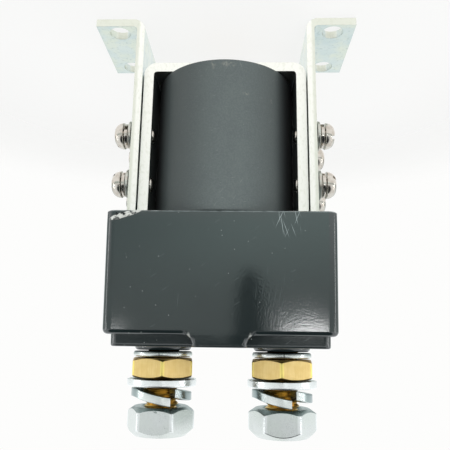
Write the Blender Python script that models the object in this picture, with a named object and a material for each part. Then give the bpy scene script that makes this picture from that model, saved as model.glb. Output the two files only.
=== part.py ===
"""Two-stud DC contactor of the kind fitted to golf carts as their solenoid.

Lengths are in metres. The mounting tabs rest on z = 0 and the terminal studs
point up. Left and right are -X and +X, front and rear are -Y and +Y.
"""

import math

import bmesh
import bpy

# Clearance between pieces that touch on the real part.
GAP = 0.0003
# Distance below which two vertices are one.
MERGE = 0.000001
# How far a cutting shape runs past what it cuts.
OVERCUT = 0.001

# Facets of round shapes, from the coil down to the small fasteners.
COIL_SEGMENTS = 64
WASHER_SEGMENTS = 32
ROUND_SEGMENTS = 24
SMALL_SEGMENTS = 12
CORNER_STEPS = 5

# Coil: a moulded jacket over a bobbin and its winding.
COIL_RADIUS = 0.0214
COIL_LENGTH = 0.0456
JACKET_WALL = 0.0011
JACKET_END = 0.0012
JACKET_EDGE = 0.0006
BOBBIN_WALL = 0.0012
FLANGE_THICKNESS = 0.0012
WINDING_DEPTH = 0.0074

# Coil blades: quick-connect tabs out of two shoulders on the coil's rear.
BLADE_WIDTH = 0.0063
BLADE_THICKNESS = 0.0008
BLADE_LENGTH = 0.0072
BLADE_ROOT = 0.0017
BLADE_HOLE_RADIUS = 0.0008
BLADE_TIP_CHAMFER = 0.0012
BLADE_OFFSET = 0.0170
BLADE_RISE = 0.0082
SHOULDER_FACE = 0.0152
SHOULDER_WIDTH = 0.0054
SHOULDER_HEIGHT = 0.0098
SHOULDER_DEPTH = 0.0090

# Yoke: a folded steel strip around the coil, staked into the top plate.
YOKE_THICKNESS = 0.0030
YOKE_WIDTH = 0.0270
YOKE_BEND_RADIUS = 0.0010
YOKE_BASE_HEIGHT = 0.0145
TENON_WIDTH = 0.0140
TOP_PLATE_THICKNESS = 0.0030
TOP_PLATE_LENGTH = 0.0560
TOP_PLATE_WIDTH = 0.0380
TOP_PLATE_CORNER = 0.0020

# Mounting brackets: one folded strip on each side of the yoke.
BRACKET_THICKNESS = 0.0025
BRACKET_WIDTH = 0.0290
BRACKET_BEND_RADIUS = 0.0012
TAB_REACH = 0.0129
TAB_HOLE_OFFSET = 0.0062
TAB_HOLE_SPACING = 0.0210
TAB_HOLE_RADIUS = 0.00325

# Screws that hold the brackets, each with a lock washer and a flat washer. The
# upper row is set from the coil's top.
SCREW_ROW_DROP = 0.0107
SCREW_ROW_PITCH = 0.0154
SCREW_SPACING = 0.0200
SCREW_RADIUS = 0.0020
SCREW_HEAD_RADIUS = 0.0040
SCREW_HEAD_HEIGHT = 0.0030
HEAD_SHOULDER = 0.55
HEAD_CROWN = 0.72
SCREW_TIP_CHAMFER = 0.0004
SCREW_TIP_PROUD = 0.0005
SLOT_WIDTH = 0.0010
SLOT_DEPTH = 0.0012
SLOT_TURN = math.radians(50)
SMALL_WASHER_RADIUS = 0.0045
SMALL_WASHER_THICKNESS = 0.0008
LOCK_WASHER_RADIUS = 0.0037
LOCK_WASHER_THICKNESS = 0.0010
LOCK_WASHER_SPLIT = math.radians(24)

# Guide tube, fixed core, plunger and push rod on the coil's axis.
PLUNGER_RADIUS = 0.0083
PLUNGER_LENGTH = 0.0194
PLUNGER_CHAMFER = 0.0005
TUBE_WALL = 0.0007
CORE_SPIGOT_RADIUS = 0.0060
ROD_RADIUS = 0.0025
ROD_SOCKET_DEPTH = 0.0080
ROD_TOP_PROUD = 0.0022
ROD_CHAMFER = 0.0005

# Travel of the bridge to the studs, then of the plunger alone past it.
CONTACT_TRAVEL = 0.0030
OVERTRAVEL = 0.0010

# Return spring in its wells, and contact spring under the bridge.
SPRING_WELL_RADIUS = 0.0050
RETURN_WELL_PLUNGER = 0.0052
RETURN_WELL_CORE = 0.0105
RETURN_WIRE = 0.0004
RETURN_TURNS = 6
CONTACT_SPRING_LENGTH = 0.0054
CONTACT_WIRE = 0.00045
CONTACT_TURNS = 3
SPRING_RADIUS = 0.0041
SPRING_STEPS = 12
WIRE_SIDES = 5

# Collar, bush and clip on the push rod.
COLLAR_RADIUS = 0.0055
COLLAR_THICKNESS = 0.0015
BUSH_WALL = 0.0014
BUSH_FLANGE_RADIUS = 0.0065
BUSH_FLANGE_THICKNESS = 0.0012
CLIP_RADIUS = 0.0048
CLIP_THICKNESS = 0.0010
CLIP_SPLIT = math.radians(70)

# Bridge and its contacts. The overhang is the bar's length past a stud's axis.
BRIDGE_OVERHANG = 0.0065
BRIDGE_WIDTH = 0.0120
BRIDGE_THICKNESS = 0.0030
BRIDGE_CORNER = 0.0030
BRIDGE_PAD_HEIGHT = 0.0014
PAD_RADIUS = 0.0035
STUD_PAD_HEIGHT = 0.0015

# Moulded contact block, with draft, a stepped top and a tongue front and rear.
BLOCK_LENGTH = 0.0629
BLOCK_DEPTH = 0.0450
BLOCK_BODY_HEIGHT = 0.0323
BLOCK_DRAFT = math.radians(1.0)
BLOCK_CORNER = 0.0028
BLOCK_WALL = 0.0030
RIM_CHAMFER = 0.0002
LEDGE_RADIUS = 0.0008
STEP_HEIGHT = 0.0037
STEP_INSET_X = 0.0016
STEP_INSET_Y = 0.0035
STEP_CORNER = 0.0020
STEP_EDGE = 0.0005
TONGUE_WIDTH = 0.0144
TONGUE_FILLET = 0.0022
TONGUE_BLEND = 0.0006
CAVITY_HEIGHT = 0.0260
CHAMBER_CORNER = 0.0014
BOSS_RADIUS = 0.00825
BOSS_HEIGHT = 0.0010

# Two recessed screws hold the block to the top plate.
BLOCK_SCREW_OFFSET = 0.0155
BLOCK_SCREW_HEAD_RADIUS = 0.0038
BLOCK_SCREW_HEAD_HEIGHT = 0.0024
WELL_CLEARANCE = 0.0005
WELL_DEPTH = 0.0080
COLUMN_WALL = 0.0012

# Terminal studs, set in from the block's ends, and what is threaded on each.
STUD_INSET = 0.01395
STUD_RADIUS = 0.0049
STUD_HEAD_RADIUS = 0.0075
STUD_HEAD_THICKNESS = 0.0040
STUD_END_CHAMFER = 0.0010
STUD_END_SUNK = 0.0005
NUT_ACROSS_FLATS = 0.0170
NUT_CHAMFER_ANGLE = math.radians(28)
BRASS_NUT_THICKNESS = 0.0056
STEEL_NUT_THICKNESS = 0.0078
SEAT_WASHER_RADIUS = 0.0086
SEAT_WASHER_THICKNESS = 0.0016
SEAT_WASHER_SPLIT = math.radians(10)
FLAT_WASHER_RADIUS = 0.0100
FLAT_WASHER_THICKNESS = 0.0020
SPRING_WASHER_RADIUS = 0.0087
SPRING_WASHER_THICKNESS = 0.0024
SPRING_WASHER_RISE = 0.0026
SPRING_WASHER_SPLIT = math.radians(9)
WASHER_CHAMFER = 0.0002

# Turn of each nut and place of each washer's raised end, seen from above.
BRASS_NUT_TURN = {"left": math.radians(34), "right": math.radians(22)}
STEEL_NUT_TURN = {"left": math.radians(4), "right": math.radians(3)}
SPRING_WASHER_END = {"left": math.radians(256), "right": math.radians(245)}

SIDES = {"left": -1, "right": 1}
ENDS = {"front": -1, "rear": 1}

# Heights that follow from the sizes above, from the mounting plane upwards.
yoke_base_top = YOKE_BASE_HEIGHT + YOKE_THICKNESS
coil_bottom = yoke_base_top + GAP
coil_top = coil_bottom + COIL_LENGTH
upper_row = coil_top - SCREW_ROW_DROP
plate_bottom = coil_top + GAP
plate_top = plate_bottom + TOP_PLATE_THICKNESS
shelf_height = plate_top + GAP
block_rim = plate_bottom
ledge_height = block_rim + BLOCK_BODY_HEIGHT
block_top = ledge_height + STEP_HEIGHT
cavity_top = shelf_height + CAVITY_HEIGHT
boss_top = block_top + BOSS_HEIGHT
seat_washer_bottom = boss_top + GAP
brass_nut_bottom = seat_washer_bottom + SEAT_WASHER_THICKNESS + GAP
flat_washer_bottom = brass_nut_bottom + BRASS_NUT_THICKNESS + GAP
spring_washer_bottom = flat_washer_bottom + FLAT_WASHER_THICKNESS + GAP
spring_washer_top = spring_washer_bottom + SPRING_WASHER_THICKNESS + SPRING_WASHER_RISE
steel_nut_bottom = spring_washer_top + GAP
stud_top = steel_nut_bottom + STEEL_NUT_THICKNESS - STUD_END_SUNK

# Heights of the moving pieces at rest.
tube_bottom = YOKE_BASE_HEIGHT + GAP
plunger_bottom = tube_bottom + TUBE_WALL + GAP
plunger_top = plunger_bottom + PLUNGER_LENGTH
stroke = CONTACT_TRAVEL + OVERTRAVEL
core_bottom = plunger_top + stroke + GAP
stud_head_top = cavity_top - GAP
stud_head_bottom = stud_head_top - STUD_HEAD_THICKNESS
stud_pad_bottom = stud_head_bottom - STUD_PAD_HEIGHT
bridge_top = stud_pad_bottom - GAP - CONTACT_TRAVEL - BRIDGE_PAD_HEIGHT
bridge_bottom = bridge_top - BRIDGE_THICKNESS
bush_bottom = bridge_bottom - GAP - BUSH_FLANGE_THICKNESS
contact_spring_top = bush_bottom - GAP
contact_spring_bottom = contact_spring_top - CONTACT_SPRING_LENGTH
collar_bottom = contact_spring_bottom - GAP - COLLAR_THICKNESS
clip_bottom = bridge_top + GAP
rod_bottom = plunger_top - RETURN_WELL_PLUNGER - ROD_SOCKET_DEPTH
rod_top = clip_bottom + CLIP_THICKNESS + ROD_TOP_PROUD

# Radii and half-widths that follow.
tube_inner = PLUNGER_RADIUS + GAP
tube_outer = tube_inner + TUBE_WALL
bobbin_inner = tube_outer + GAP
bobbin_outer = bobbin_inner + BOBBIN_WALL
winding_inner = bobbin_outer + GAP
jacket_inner = COIL_RADIUS - JACKET_WALL
yoke_inner = COIL_RADIUS + GAP
yoke_outer = yoke_inner + YOKE_THICKNESS
bracket_inner = yoke_outer + GAP
bracket_outer = bracket_inner + BRACKET_THICKNESS
rod_bore = ROD_RADIUS + GAP
screw_hole = SCREW_RADIUS + GAP
stud_bore = STUD_RADIUS + GAP
stud_x = BLOCK_LENGTH / 2 - STUD_INSET
bridge_half = stud_x + BRIDGE_OVERHANG
well_radius = BLOCK_SCREW_HEAD_RADIUS + WELL_CLEARANCE


def clear_scene():
    """Remove every object, so that the script can be run again."""
    for item in list(bpy.data.objects):
        bpy.data.objects.remove(item)


def make_material(name, color, roughness, metallic):
    """Return a Principled material with the given look."""
    material = bpy.data.materials.new(name)
    material.use_nodes = True
    shader = material.node_tree.nodes["Principled BSDF"]
    shader.inputs["Base Color"].default_value = (*color, 1.0)
    shader.inputs["Roughness"].default_value = roughness
    shader.inputs["Metallic"].default_value = metallic
    return material


def make_empty(name):
    """Return an empty at the foot of the coil's axis, to carry one rigid body."""
    empty = bpy.data.objects.new(name, None)
    bpy.context.scene.collection.objects.link(empty)
    return empty


def add_object(name, bm, material=None, parent=None, location=(0, 0, 0), turn=(0, 0, 0)):
    """Turn a bmesh into a smooth-shaded object; turn is applied Z first, then Y, X."""
    bmesh.ops.recalc_face_normals(bm, faces=bm.faces)
    mesh = bpy.data.meshes.new(name)
    bm.to_mesh(mesh)
    bm.free()
    item = bpy.data.objects.new(name, mesh)
    item.location = location
    item.rotation_mode = "ZYX"
    item.rotation_euler = turn
    item.parent = parent
    bpy.context.scene.collection.objects.link(item)
    if material:
        mesh.materials.append(material)
    smooth(mesh)
    return item


def add_copy(name, source, location, turn=(0, 0, 0)):
    """Return another object that shares the source's mesh and parent."""
    item = bpy.data.objects.new(name, source.data)
    item.location = location
    item.rotation_mode = "ZYX"
    item.rotation_euler = turn
    item.parent = source.parent
    bpy.context.scene.collection.objects.link(item)
    return item


def smooth(mesh):
    """Shade curved stretches smooth and keep real edges sharp."""
    mesh.shade_smooth()
    mesh.set_sharp_from_angle(angle=math.radians(35))


def combine(body, tools, operation="DIFFERENCE"):
    """Apply tool shapes to a body with exact Booleans, then remove the tools."""
    for tool in tools:
        modifier = body.modifiers.new(tool.name, "BOOLEAN")
        modifier.operation = operation
        modifier.solver = "EXACT"
        modifier.object = tool
    bpy.context.view_layer.update()
    depsgraph = bpy.context.evaluated_depsgraph_get()
    result = bpy.data.meshes.new_from_object(body.evaluated_get(depsgraph))
    body.modifiers.clear()
    body.data = result
    smooth(result)
    for tool in tools:
        bpy.data.objects.remove(tool)


def arc(center_x, center_y, radius, start, end, steps):
    """Return points of an arc between two angles, both ends included."""
    angles = [start + (end - start) * i / steps for i in range(steps + 1)]
    return [(center_x + radius * math.cos(a), center_y + radius * math.sin(a)) for a in angles]


def polygon(radius, sides, start=0.0):
    """Return the corners of a regular polygon."""
    return arc(0, 0, radius, start, start + math.tau * (sides - 1) / sides, sides - 1)


def rectangle(half_x, half_y):
    """Return a rectangle's corners."""
    return [(-half_x, -half_y), (half_x, -half_y), (half_x, half_y), (-half_x, half_y)]


def rounded_rectangle(half_x, half_y, radius):
    """Return a rectangle's outline with round corners."""
    x, y = half_x - radius, half_y - radius
    quarter = math.pi / 2
    return (
        arc(x, y, radius, 0, quarter, CORNER_STEPS)
        + arc(-x, y, radius, quarter, 2 * quarter, CORNER_STEPS)
        + arc(-x, -y, radius, 2 * quarter, 3 * quarter, CORNER_STEPS)
        + arc(x, -y, radius, 3 * quarter, 4 * quarter, CORNER_STEPS)
    )


def four_way(quarter):
    """Mirror a quarter outline, from the Y axis to the X axis, into a closed one."""
    back = quarter[::-1]
    return (
        quarter
        + [(x, -y) for x, y in back]
        + [(-x, -y) for x, y in quarter]
        + [(-x, y) for x, y in back]
    )


def loft(sections):
    """Return a bmesh that joins sections with equal point counts and caps its ends."""
    bm = bmesh.new()
    rings = [[bm.verts.new(point) for point in section] for section in sections]
    for lower, upper in zip(rings, rings[1:]):
        for i in range(len(lower)):
            bm.faces.new((lower[i - 1], lower[i], upper[i], upper[i - 1]))
    bm.faces.new(rings[0])
    bm.faces.new(rings[-1])
    bmesh.ops.remove_doubles(bm, verts=bm.verts, dist=MERGE)
    return bm


def prism(outline, bottom, top):
    """Return a bmesh of an (x, y) outline drawn from bottom to top along Z."""
    return loft([[(x, y, z) for x, y in outline] for z in (bottom, top)])


def lathe(profile, segments=ROUND_SEGMENTS):
    """Return a bmesh turned about Z from a (radius, z) profile.

    A profile that starts and ends on the axis is left open, any other is closed.
    """
    bm = bmesh.new()
    verts = [bm.verts.new((radius, 0, z)) for radius, z in profile]
    pairs = list(zip(verts, verts[1:]))
    if profile[0][0] > 0:
        pairs.append((verts[-1], verts[0]))
    edges = [bm.edges.new(pair) for pair in pairs]
    bmesh.ops.spin(bm, geom=verts + edges, axis=(0, 0, 1), angle=math.tau, steps=segments)
    bmesh.ops.remove_doubles(bm, verts=bm.verts, dist=MERGE)
    return bm


def ring(inner, outer, thickness, chamfer=0.0, segments=ROUND_SEGMENTS):
    """Return a flat ring that starts at z = 0, its outer edges chamfered if asked."""
    profile = [(inner, 0), (outer - chamfer, 0)]
    if chamfer:
        profile += [(outer, chamfer), (outer, thickness - chamfer)]
    profile += [(outer - chamfer, thickness), (inner, thickness)]
    return lathe(profile, segments)


def split_ring(inner, outer, thickness, split, rise=0.0, end=0.0, segments=ROUND_SEGMENTS):
    """Return a split washer, wound left-handed up to its end angle seen from above."""
    sections = []
    for i in range(segments + 1):
        share = i / segments
        angle = end + (math.tau - split) * (1 - share)
        low = rise * share
        corners = [(inner, low), (outer, low), (outer, low + thickness), (inner, low + thickness)]
        sections.append([(r * math.cos(angle), r * math.sin(angle), z) for r, z in corners])
    return loft(sections)


def coil_spring(radius, wire, turns, length):
    """Return a wound spring of round wire that stands on z = 0."""
    sections = []
    steps = turns * SPRING_STEPS
    for i in range(steps + 1):
        angle = math.tau * turns * i / steps
        middle = wire + (length - 2 * wire) * i / steps
        circle = polygon(wire, WIRE_SIDES)
        sections.append(
            [
                ((radius + u) * math.cos(angle), (radius + u) * math.sin(angle), middle + v)
                for u, v in circle
            ]
        )
    return loft(sections)


def along_x(outline, start, end):
    """Return a bmesh of a (y, z) outline drawn from start to end along X."""
    return loft([[(x, y, z) for y, z in outline] for x in (start, end)])


def along_y(outline, start, end):
    """Return a bmesh of an (x, z) outline drawn from start to end along Y."""
    return loft([[(x, y, z) for x, z in outline] for y in (start, end)])


def shifted(outline, x, y):
    """Return an outline moved by x and y."""
    return [(px + x, py + y) for px, py in outline]


def screw_places():
    """Yield the name ending, end sign and height of each bracket screw on one side."""
    rows = {"low": upper_row - SCREW_ROW_PITCH, "high": upper_row}
    for end_name, end in ENDS.items():
        for row_name, height in rows.items():
            yield f"{end_name}_{row_name}", end * SCREW_SPACING / 2, height


def side_hole_tools(radius, start, end):
    """Return cutters for the bracket screws' holes between two X positions."""
    return [
        add_object(f"hole_{name}", along_x(shifted(polygon(radius, SMALL_SEGMENTS), y, z), start, end))
        for name, y, z in screw_places()
    ]


def make_yoke(steel, root):
    """Fold the yoke, notch its legs down to the tenons and drill it."""
    outer_radius = YOKE_BEND_RADIUS + YOKE_THICKNESS
    tenon_top = plate_top - GAP
    quarter = math.pi / 2
    x_bend, z_bend = yoke_outer - outer_radius, YOKE_BASE_HEIGHT + outer_radius
    profile = (
        [(yoke_outer, tenon_top)]
        + arc(x_bend, z_bend, outer_radius, 0, -quarter, CORNER_STEPS)
        + arc(-x_bend, z_bend, outer_radius, -quarter, -2 * quarter, CORNER_STEPS)
        + [(-yoke_outer, tenon_top), (-yoke_inner, tenon_top)]
        + arc(-x_bend, z_bend, YOKE_BEND_RADIUS, -2 * quarter, -quarter, CORNER_STEPS)
        + arc(x_bend, z_bend, YOKE_BEND_RADIUS, -quarter, 0, CORNER_STEPS)
        + [(yoke_inner, tenon_top)]
    )
    strip = along_y(profile, -YOKE_WIDTH / 2, YOKE_WIDTH / 2)
    yoke = add_object("yoke_frame", strip, steel, root)
    reach = yoke_outer + OVERCUT
    edge = YOKE_WIDTH / 2 + OVERCUT
    tools = side_hole_tools(screw_hole, -reach, reach)
    for name, end in ENDS.items():
        corners = [(TENON_WIDTH / 2 * end, coil_top), (edge * end, coil_top)]
        corners += [(y, tenon_top + OVERCUT) for y, _ in corners[::-1]]
        tools.append(add_object(f"notch_{name}", along_x(corners, -reach, reach)))
    bore = polygon(bobbin_inner, ROUND_SEGMENTS)
    hole = prism(bore, YOKE_BASE_HEIGHT - OVERCUT, yoke_base_top + OVERCUT)
    tools.append(add_object("tube_hole", hole))
    combine(yoke, tools)


def make_top_plate(steel, root):
    """Cut the plate that closes the magnetic circuit under the contact block."""
    outline = rounded_rectangle(TOP_PLATE_LENGTH / 2, TOP_PLATE_WIDTH / 2, TOP_PLATE_CORNER)
    plate = add_object(
        "top_plate", prism(outline, 0, TOP_PLATE_THICKNESS), steel, root, (0, 0, plate_bottom)
    )
    bottom, top = plate_bottom - OVERCUT, plate_top + OVERCUT
    bore = polygon(CORE_SPIGOT_RADIUS + GAP, ROUND_SEGMENTS)
    tools = [add_object("core_hole", prism(bore, bottom, top))]
    slot = rectangle(YOKE_THICKNESS / 2 + GAP, TENON_WIDTH / 2 + GAP)
    for name, side in SIDES.items():
        x = side * (yoke_inner + yoke_outer) / 2
        tools.append(add_object(f"slot_{name}", prism(shifted(slot, x, 0), bottom, top)))
    tapped = polygon(screw_hole, SMALL_SEGMENTS)
    for name, end in ENDS.items():
        y = end * BLOCK_SCREW_OFFSET
        tools.append(add_object(f"tapped_{name}", prism(shifted(tapped, 0, y), bottom, top)))
    combine(plate, tools)


def make_brackets(zinc, root):
    """Fold one drilled bracket for each side."""
    outer_radius = BRACKET_BEND_RADIUS + BRACKET_THICKNESS
    quarter = math.pi / 2
    for name, side in SIDES.items():
        x_bend = bracket_inner + outer_radius
        end = bracket_outer + TAB_REACH
        profile = (
            [(bracket_inner, coil_top)]
            + arc(x_bend, outer_radius, outer_radius, 2 * quarter, 3 * quarter, CORNER_STEPS)
            + [(end, 0), (end, BRACKET_THICKNESS)]
            + arc(x_bend, outer_radius, BRACKET_BEND_RADIUS, 3 * quarter, 2 * quarter, CORNER_STEPS)
            + [(bracket_outer, coil_top)]
        )
        profile = [(side * x, z) for x, z in profile]
        strip = along_y(profile, -BRACKET_WIDTH / 2, BRACKET_WIDTH / 2)
        bracket = add_object(f"mounting_bracket_{name}", strip, zinc, root)
        reach = sorted((side * (bracket_inner - OVERCUT), side * (bracket_outer + OVERCUT)))
        tools = side_hole_tools(screw_hole, *reach)
        hole = polygon(TAB_HOLE_RADIUS, ROUND_SEGMENTS)
        for end_name, end_sign in ENDS.items():
            x = side * (bracket_outer + TAB_HOLE_OFFSET)
            bore = shifted(hole, x, end_sign * TAB_HOLE_SPACING / 2)
            depth = BRACKET_THICKNESS + OVERCUT
            tools.append(add_object(f"tab_hole_{end_name}", prism(bore, -OVERCUT, depth)))
        combine(bracket, tools)


def make_screw_mesh(length, head_radius, head_height):
    """Return a slotted pan-head screw along Z with its head's underside at z = 0."""
    tip = SCREW_RADIUS - SCREW_TIP_CHAMFER
    return lathe(
        [
            (0, -length),
            (tip, -length),
            (SCREW_RADIUS, SCREW_TIP_CHAMFER - length),
            (SCREW_RADIUS, 0),
            (head_radius, 0),
            (head_radius, head_height * HEAD_SHOULDER),
            (head_radius * HEAD_CROWN, head_height),
            (0, head_height),
        ],
        SMALL_SEGMENTS,
    )


def cut_slot(screw, head_radius, head_height):
    """Cut a driver slot across a screw's head, in the screw's own frame."""
    outline = rectangle(head_radius + OVERCUT, SLOT_WIDTH / 2)
    slot = prism(outline, head_height - SLOT_DEPTH, head_height + OVERCUT)
    tool = add_object("slot", slot, None, screw.parent, screw.location, screw.rotation_euler)
    combine(screw, [tool])


def make_bracket_fasteners(nickel, zinc, root):
    """Set four screws with their washers through each bracket into the yoke."""
    washer_x = bracket_outer + GAP
    lock_x = washer_x + SMALL_WASHER_THICKNESS + GAP
    head_x = lock_x + LOCK_WASHER_THICKNESS + GAP
    length = head_x - yoke_inner + SCREW_TIP_PROUD
    first_screw = first_lock = first_washer = None
    for side_name, side in SIDES.items():
        for index, (place, y, z) in enumerate(screw_places()):
            name = f"{side_name}_{place}"
            turn = (0, side * math.pi / 2, SLOT_TURN * (index + 1))
            screw_at, lock_at, washer_at = ((side * x, y, z) for x in (head_x, lock_x, washer_x))
            if first_screw:
                add_copy(f"bracket_screw_{name}", first_screw, screw_at, turn)
                add_copy(f"bracket_lock_washer_{name}", first_lock, lock_at, turn)
                add_copy(f"bracket_flat_washer_{name}", first_washer, washer_at, turn)
                continue
            screw = make_screw_mesh(length, SCREW_HEAD_RADIUS, SCREW_HEAD_HEIGHT)
            first_screw = add_object(f"bracket_screw_{name}", screw, nickel, root, screw_at, turn)
            cut_slot(first_screw, SCREW_HEAD_RADIUS, SCREW_HEAD_HEIGHT)
            lock = split_ring(
                screw_hole,
                LOCK_WASHER_RADIUS,
                LOCK_WASHER_THICKNESS,
                LOCK_WASHER_SPLIT,
                segments=SMALL_SEGMENTS,
            )
            first_lock = add_object(f"bracket_lock_washer_{name}", lock, nickel, root, lock_at, turn)
            washer = ring(
                screw_hole, SMALL_WASHER_RADIUS, SMALL_WASHER_THICKNESS, segments=SMALL_SEGMENTS
            )
            first_washer = add_object(
                f"bracket_flat_washer_{name}", washer, zinc, root, washer_at, turn
            )


def make_coil(black, copper, bobbin_white, root):
    """Turn the bobbin, its winding and the moulded jacket around them."""
    flange_radius = jacket_inner - GAP
    flange_low = coil_bottom + JACKET_END + GAP
    flange_high = coil_top - JACKET_END - GAP
    winding_low = flange_low + FLANGE_THICKNESS
    winding_high = flange_high - FLANGE_THICKNESS
    bobbin = lathe(
        [
            (bobbin_inner, coil_bottom),
            (bobbin_outer, coil_bottom),
            (bobbin_outer, flange_low),
            (flange_radius, flange_low),
            (flange_radius, winding_low),
            (bobbin_outer, winding_low),
            (bobbin_outer, winding_high),
            (flange_radius, winding_high),
            (flange_radius, flange_high),
            (bobbin_outer, flange_high),
            (bobbin_outer, coil_top),
            (bobbin_inner, coil_top),
        ]
    )
    add_object("coil_bobbin", bobbin, bobbin_white, root)
    height = winding_high - winding_low - 2 * GAP
    winding = ring(winding_inner, winding_inner + WINDING_DEPTH, height)
    add_object("coil_winding", winding, copper, root, (0, 0, winding_low + GAP))
    make_jacket(black, root)


def make_jacket(black, root):
    """Mould the coil's jacket with a pocketed shoulder for each blade."""
    edge = JACKET_EDGE
    solid = lathe(
        [
            (0, coil_bottom),
            (COIL_RADIUS - edge, coil_bottom),
            (COIL_RADIUS, coil_bottom + edge),
            (COIL_RADIUS, coil_top - edge),
            (COIL_RADIUS - edge, coil_top),
            (0, coil_top),
        ],
        COIL_SEGMENTS,
    )
    jacket = add_object("coil_jacket", solid, black, root)
    shoulders, pockets = [], []
    half_thickness = BLADE_THICKNESS / 2 + GAP
    half_width = BLADE_WIDTH / 2 + GAP
    for name, side in SIDES.items():
        x, z = side * BLADE_OFFSET, coil_bottom + BLADE_RISE
        outline = shifted(rectangle(SHOULDER_WIDTH / 2, SHOULDER_HEIGHT / 2), x, z)
        block = along_y(outline, SHOULDER_FACE - SHOULDER_DEPTH, SHOULDER_FACE)
        shoulders.append(add_object(f"shoulder_{name}", block))
        outline = shifted(rectangle(half_thickness, half_width), x, z)
        pocket = along_y(outline, SHOULDER_FACE - BLADE_ROOT - GAP, SHOULDER_FACE + OVERCUT)
        pockets.append(add_object(f"pocket_{name}", pocket))
    combine(jacket, shoulders, "UNION")
    hollow = lathe(
        [
            (winding_inner, coil_bottom - OVERCUT),
            (winding_inner, coil_bottom + JACKET_END),
            (jacket_inner, coil_bottom + JACKET_END),
            (jacket_inner, coil_top - JACKET_END),
            (winding_inner, coil_top - JACKET_END),
            (winding_inner, coil_top + OVERCUT),
            (0, coil_top + OVERCUT),
            (0, coil_bottom - OVERCUT),
        ][::-1],
    )
    combine(jacket, [add_object("hollow", hollow)] + pockets)


def make_blades(tin, root):
    """Stamp the two quick-connect blades of the coil."""
    half = BLADE_WIDTH / 2
    tip = half - BLADE_TIP_CHAMFER
    end = BLADE_ROOT + BLADE_LENGTH
    outline = [
        (0, -half),
        (end - BLADE_TIP_CHAMFER, -half),
        (end, -tip),
        (end, tip),
        (end - BLADE_TIP_CHAMFER, half),
        (0, half),
    ]
    hole_y = BLADE_ROOT + BLADE_LENGTH / 2
    for name, side in SIDES.items():
        half_thickness = BLADE_THICKNESS / 2
        start = (side * BLADE_OFFSET, SHOULDER_FACE - BLADE_ROOT, coil_bottom + BLADE_RISE)
        blade = add_object(
            f"coil_blade_{name}", along_x(outline, -half_thickness, half_thickness), tin, root, start
        )
        bore = shifted(polygon(BLADE_HOLE_RADIUS, SMALL_SEGMENTS), hole_y, 0)
        drill = along_x(bore, -half_thickness - OVERCUT, half_thickness + OVERCUT)
        combine(blade, [add_object("blade_hole", drill, None, root, start)])


def make_guide_tube(brass, root):
    """Draw the closed tube that guides the plunger."""
    profile = [
        (0, tube_bottom),
        (tube_outer, tube_bottom),
        (tube_outer, coil_top),
        (tube_inner, coil_top),
        (tube_inner, tube_bottom + TUBE_WALL),
        (0, tube_bottom + TUBE_WALL),
    ]
    add_object("guide_tube", lathe(profile), brass, root)


def make_fixed_core(steel, root):
    """Turn the fixed core, with the spring's well below and a spigot in the plate."""
    well_top = core_bottom + RETURN_WELL_CORE
    profile = [
        (SPRING_WELL_RADIUS, core_bottom),
        (PLUNGER_RADIUS, core_bottom),
        (PLUNGER_RADIUS, coil_top),
        (CORE_SPIGOT_RADIUS, coil_top),
        (CORE_SPIGOT_RADIUS, plate_top - GAP),
        (rod_bore, plate_top - GAP),
        (rod_bore, well_top),
        (SPRING_WELL_RADIUS, well_top),
    ]
    add_object("fixed_core", lathe(profile), steel, root)


def make_plunger(steel, root):
    """Turn the plunger, with a well for the spring and a socket for the rod."""
    well_bottom = plunger_top - RETURN_WELL_PLUNGER
    profile = [
        (0, plunger_bottom),
        (PLUNGER_RADIUS - PLUNGER_CHAMFER, plunger_bottom),
        (PLUNGER_RADIUS, plunger_bottom + PLUNGER_CHAMFER),
        (PLUNGER_RADIUS, plunger_top - PLUNGER_CHAMFER),
        (PLUNGER_RADIUS - PLUNGER_CHAMFER, plunger_top),
        (SPRING_WELL_RADIUS, plunger_top),
        (SPRING_WELL_RADIUS, well_bottom),
        (rod_bore, well_bottom),
        (rod_bore, rod_bottom - GAP),
        (0, rod_bottom - GAP),
    ]
    add_object("plunger", lathe(profile), steel, root)


def make_rod_pieces(steel, spring_steel, root):
    """Turn the push rod, with the collar and clip that hold the bridge's spring."""
    chamfer = ROD_CHAMFER
    profile = [
        (0, rod_bottom),
        (ROD_RADIUS, rod_bottom),
        (ROD_RADIUS, rod_top - chamfer),
        (ROD_RADIUS - chamfer, rod_top),
        (0, rod_top),
    ]
    add_object("push_rod", lathe(profile), steel, root)
    collar = ring(rod_bore, COLLAR_RADIUS, COLLAR_THICKNESS)
    add_object("spring_seat_collar", collar, steel, root, (0, 0, collar_bottom))
    clip = split_ring(rod_bore, CLIP_RADIUS, CLIP_THICKNESS, CLIP_SPLIT)
    add_object("retaining_clip", clip, spring_steel, root, (0, 0, clip_bottom))


def make_springs(spring_steel, frame_root, plunger_root):
    """Wind the return spring and the contact spring."""
    bottom = plunger_top - RETURN_WELL_PLUNGER + GAP
    top = core_bottom + RETURN_WELL_CORE - GAP
    spring = coil_spring(SPRING_RADIUS, RETURN_WIRE, RETURN_TURNS, top - bottom)
    add_object("return_spring", spring, spring_steel, frame_root, (0, 0, bottom))
    spring = coil_spring(SPRING_RADIUS, CONTACT_WIRE, CONTACT_TURNS, CONTACT_SPRING_LENGTH)
    place = (0, 0, contact_spring_bottom)
    add_object("contact_spring", spring, spring_steel, plunger_root, place)


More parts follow.
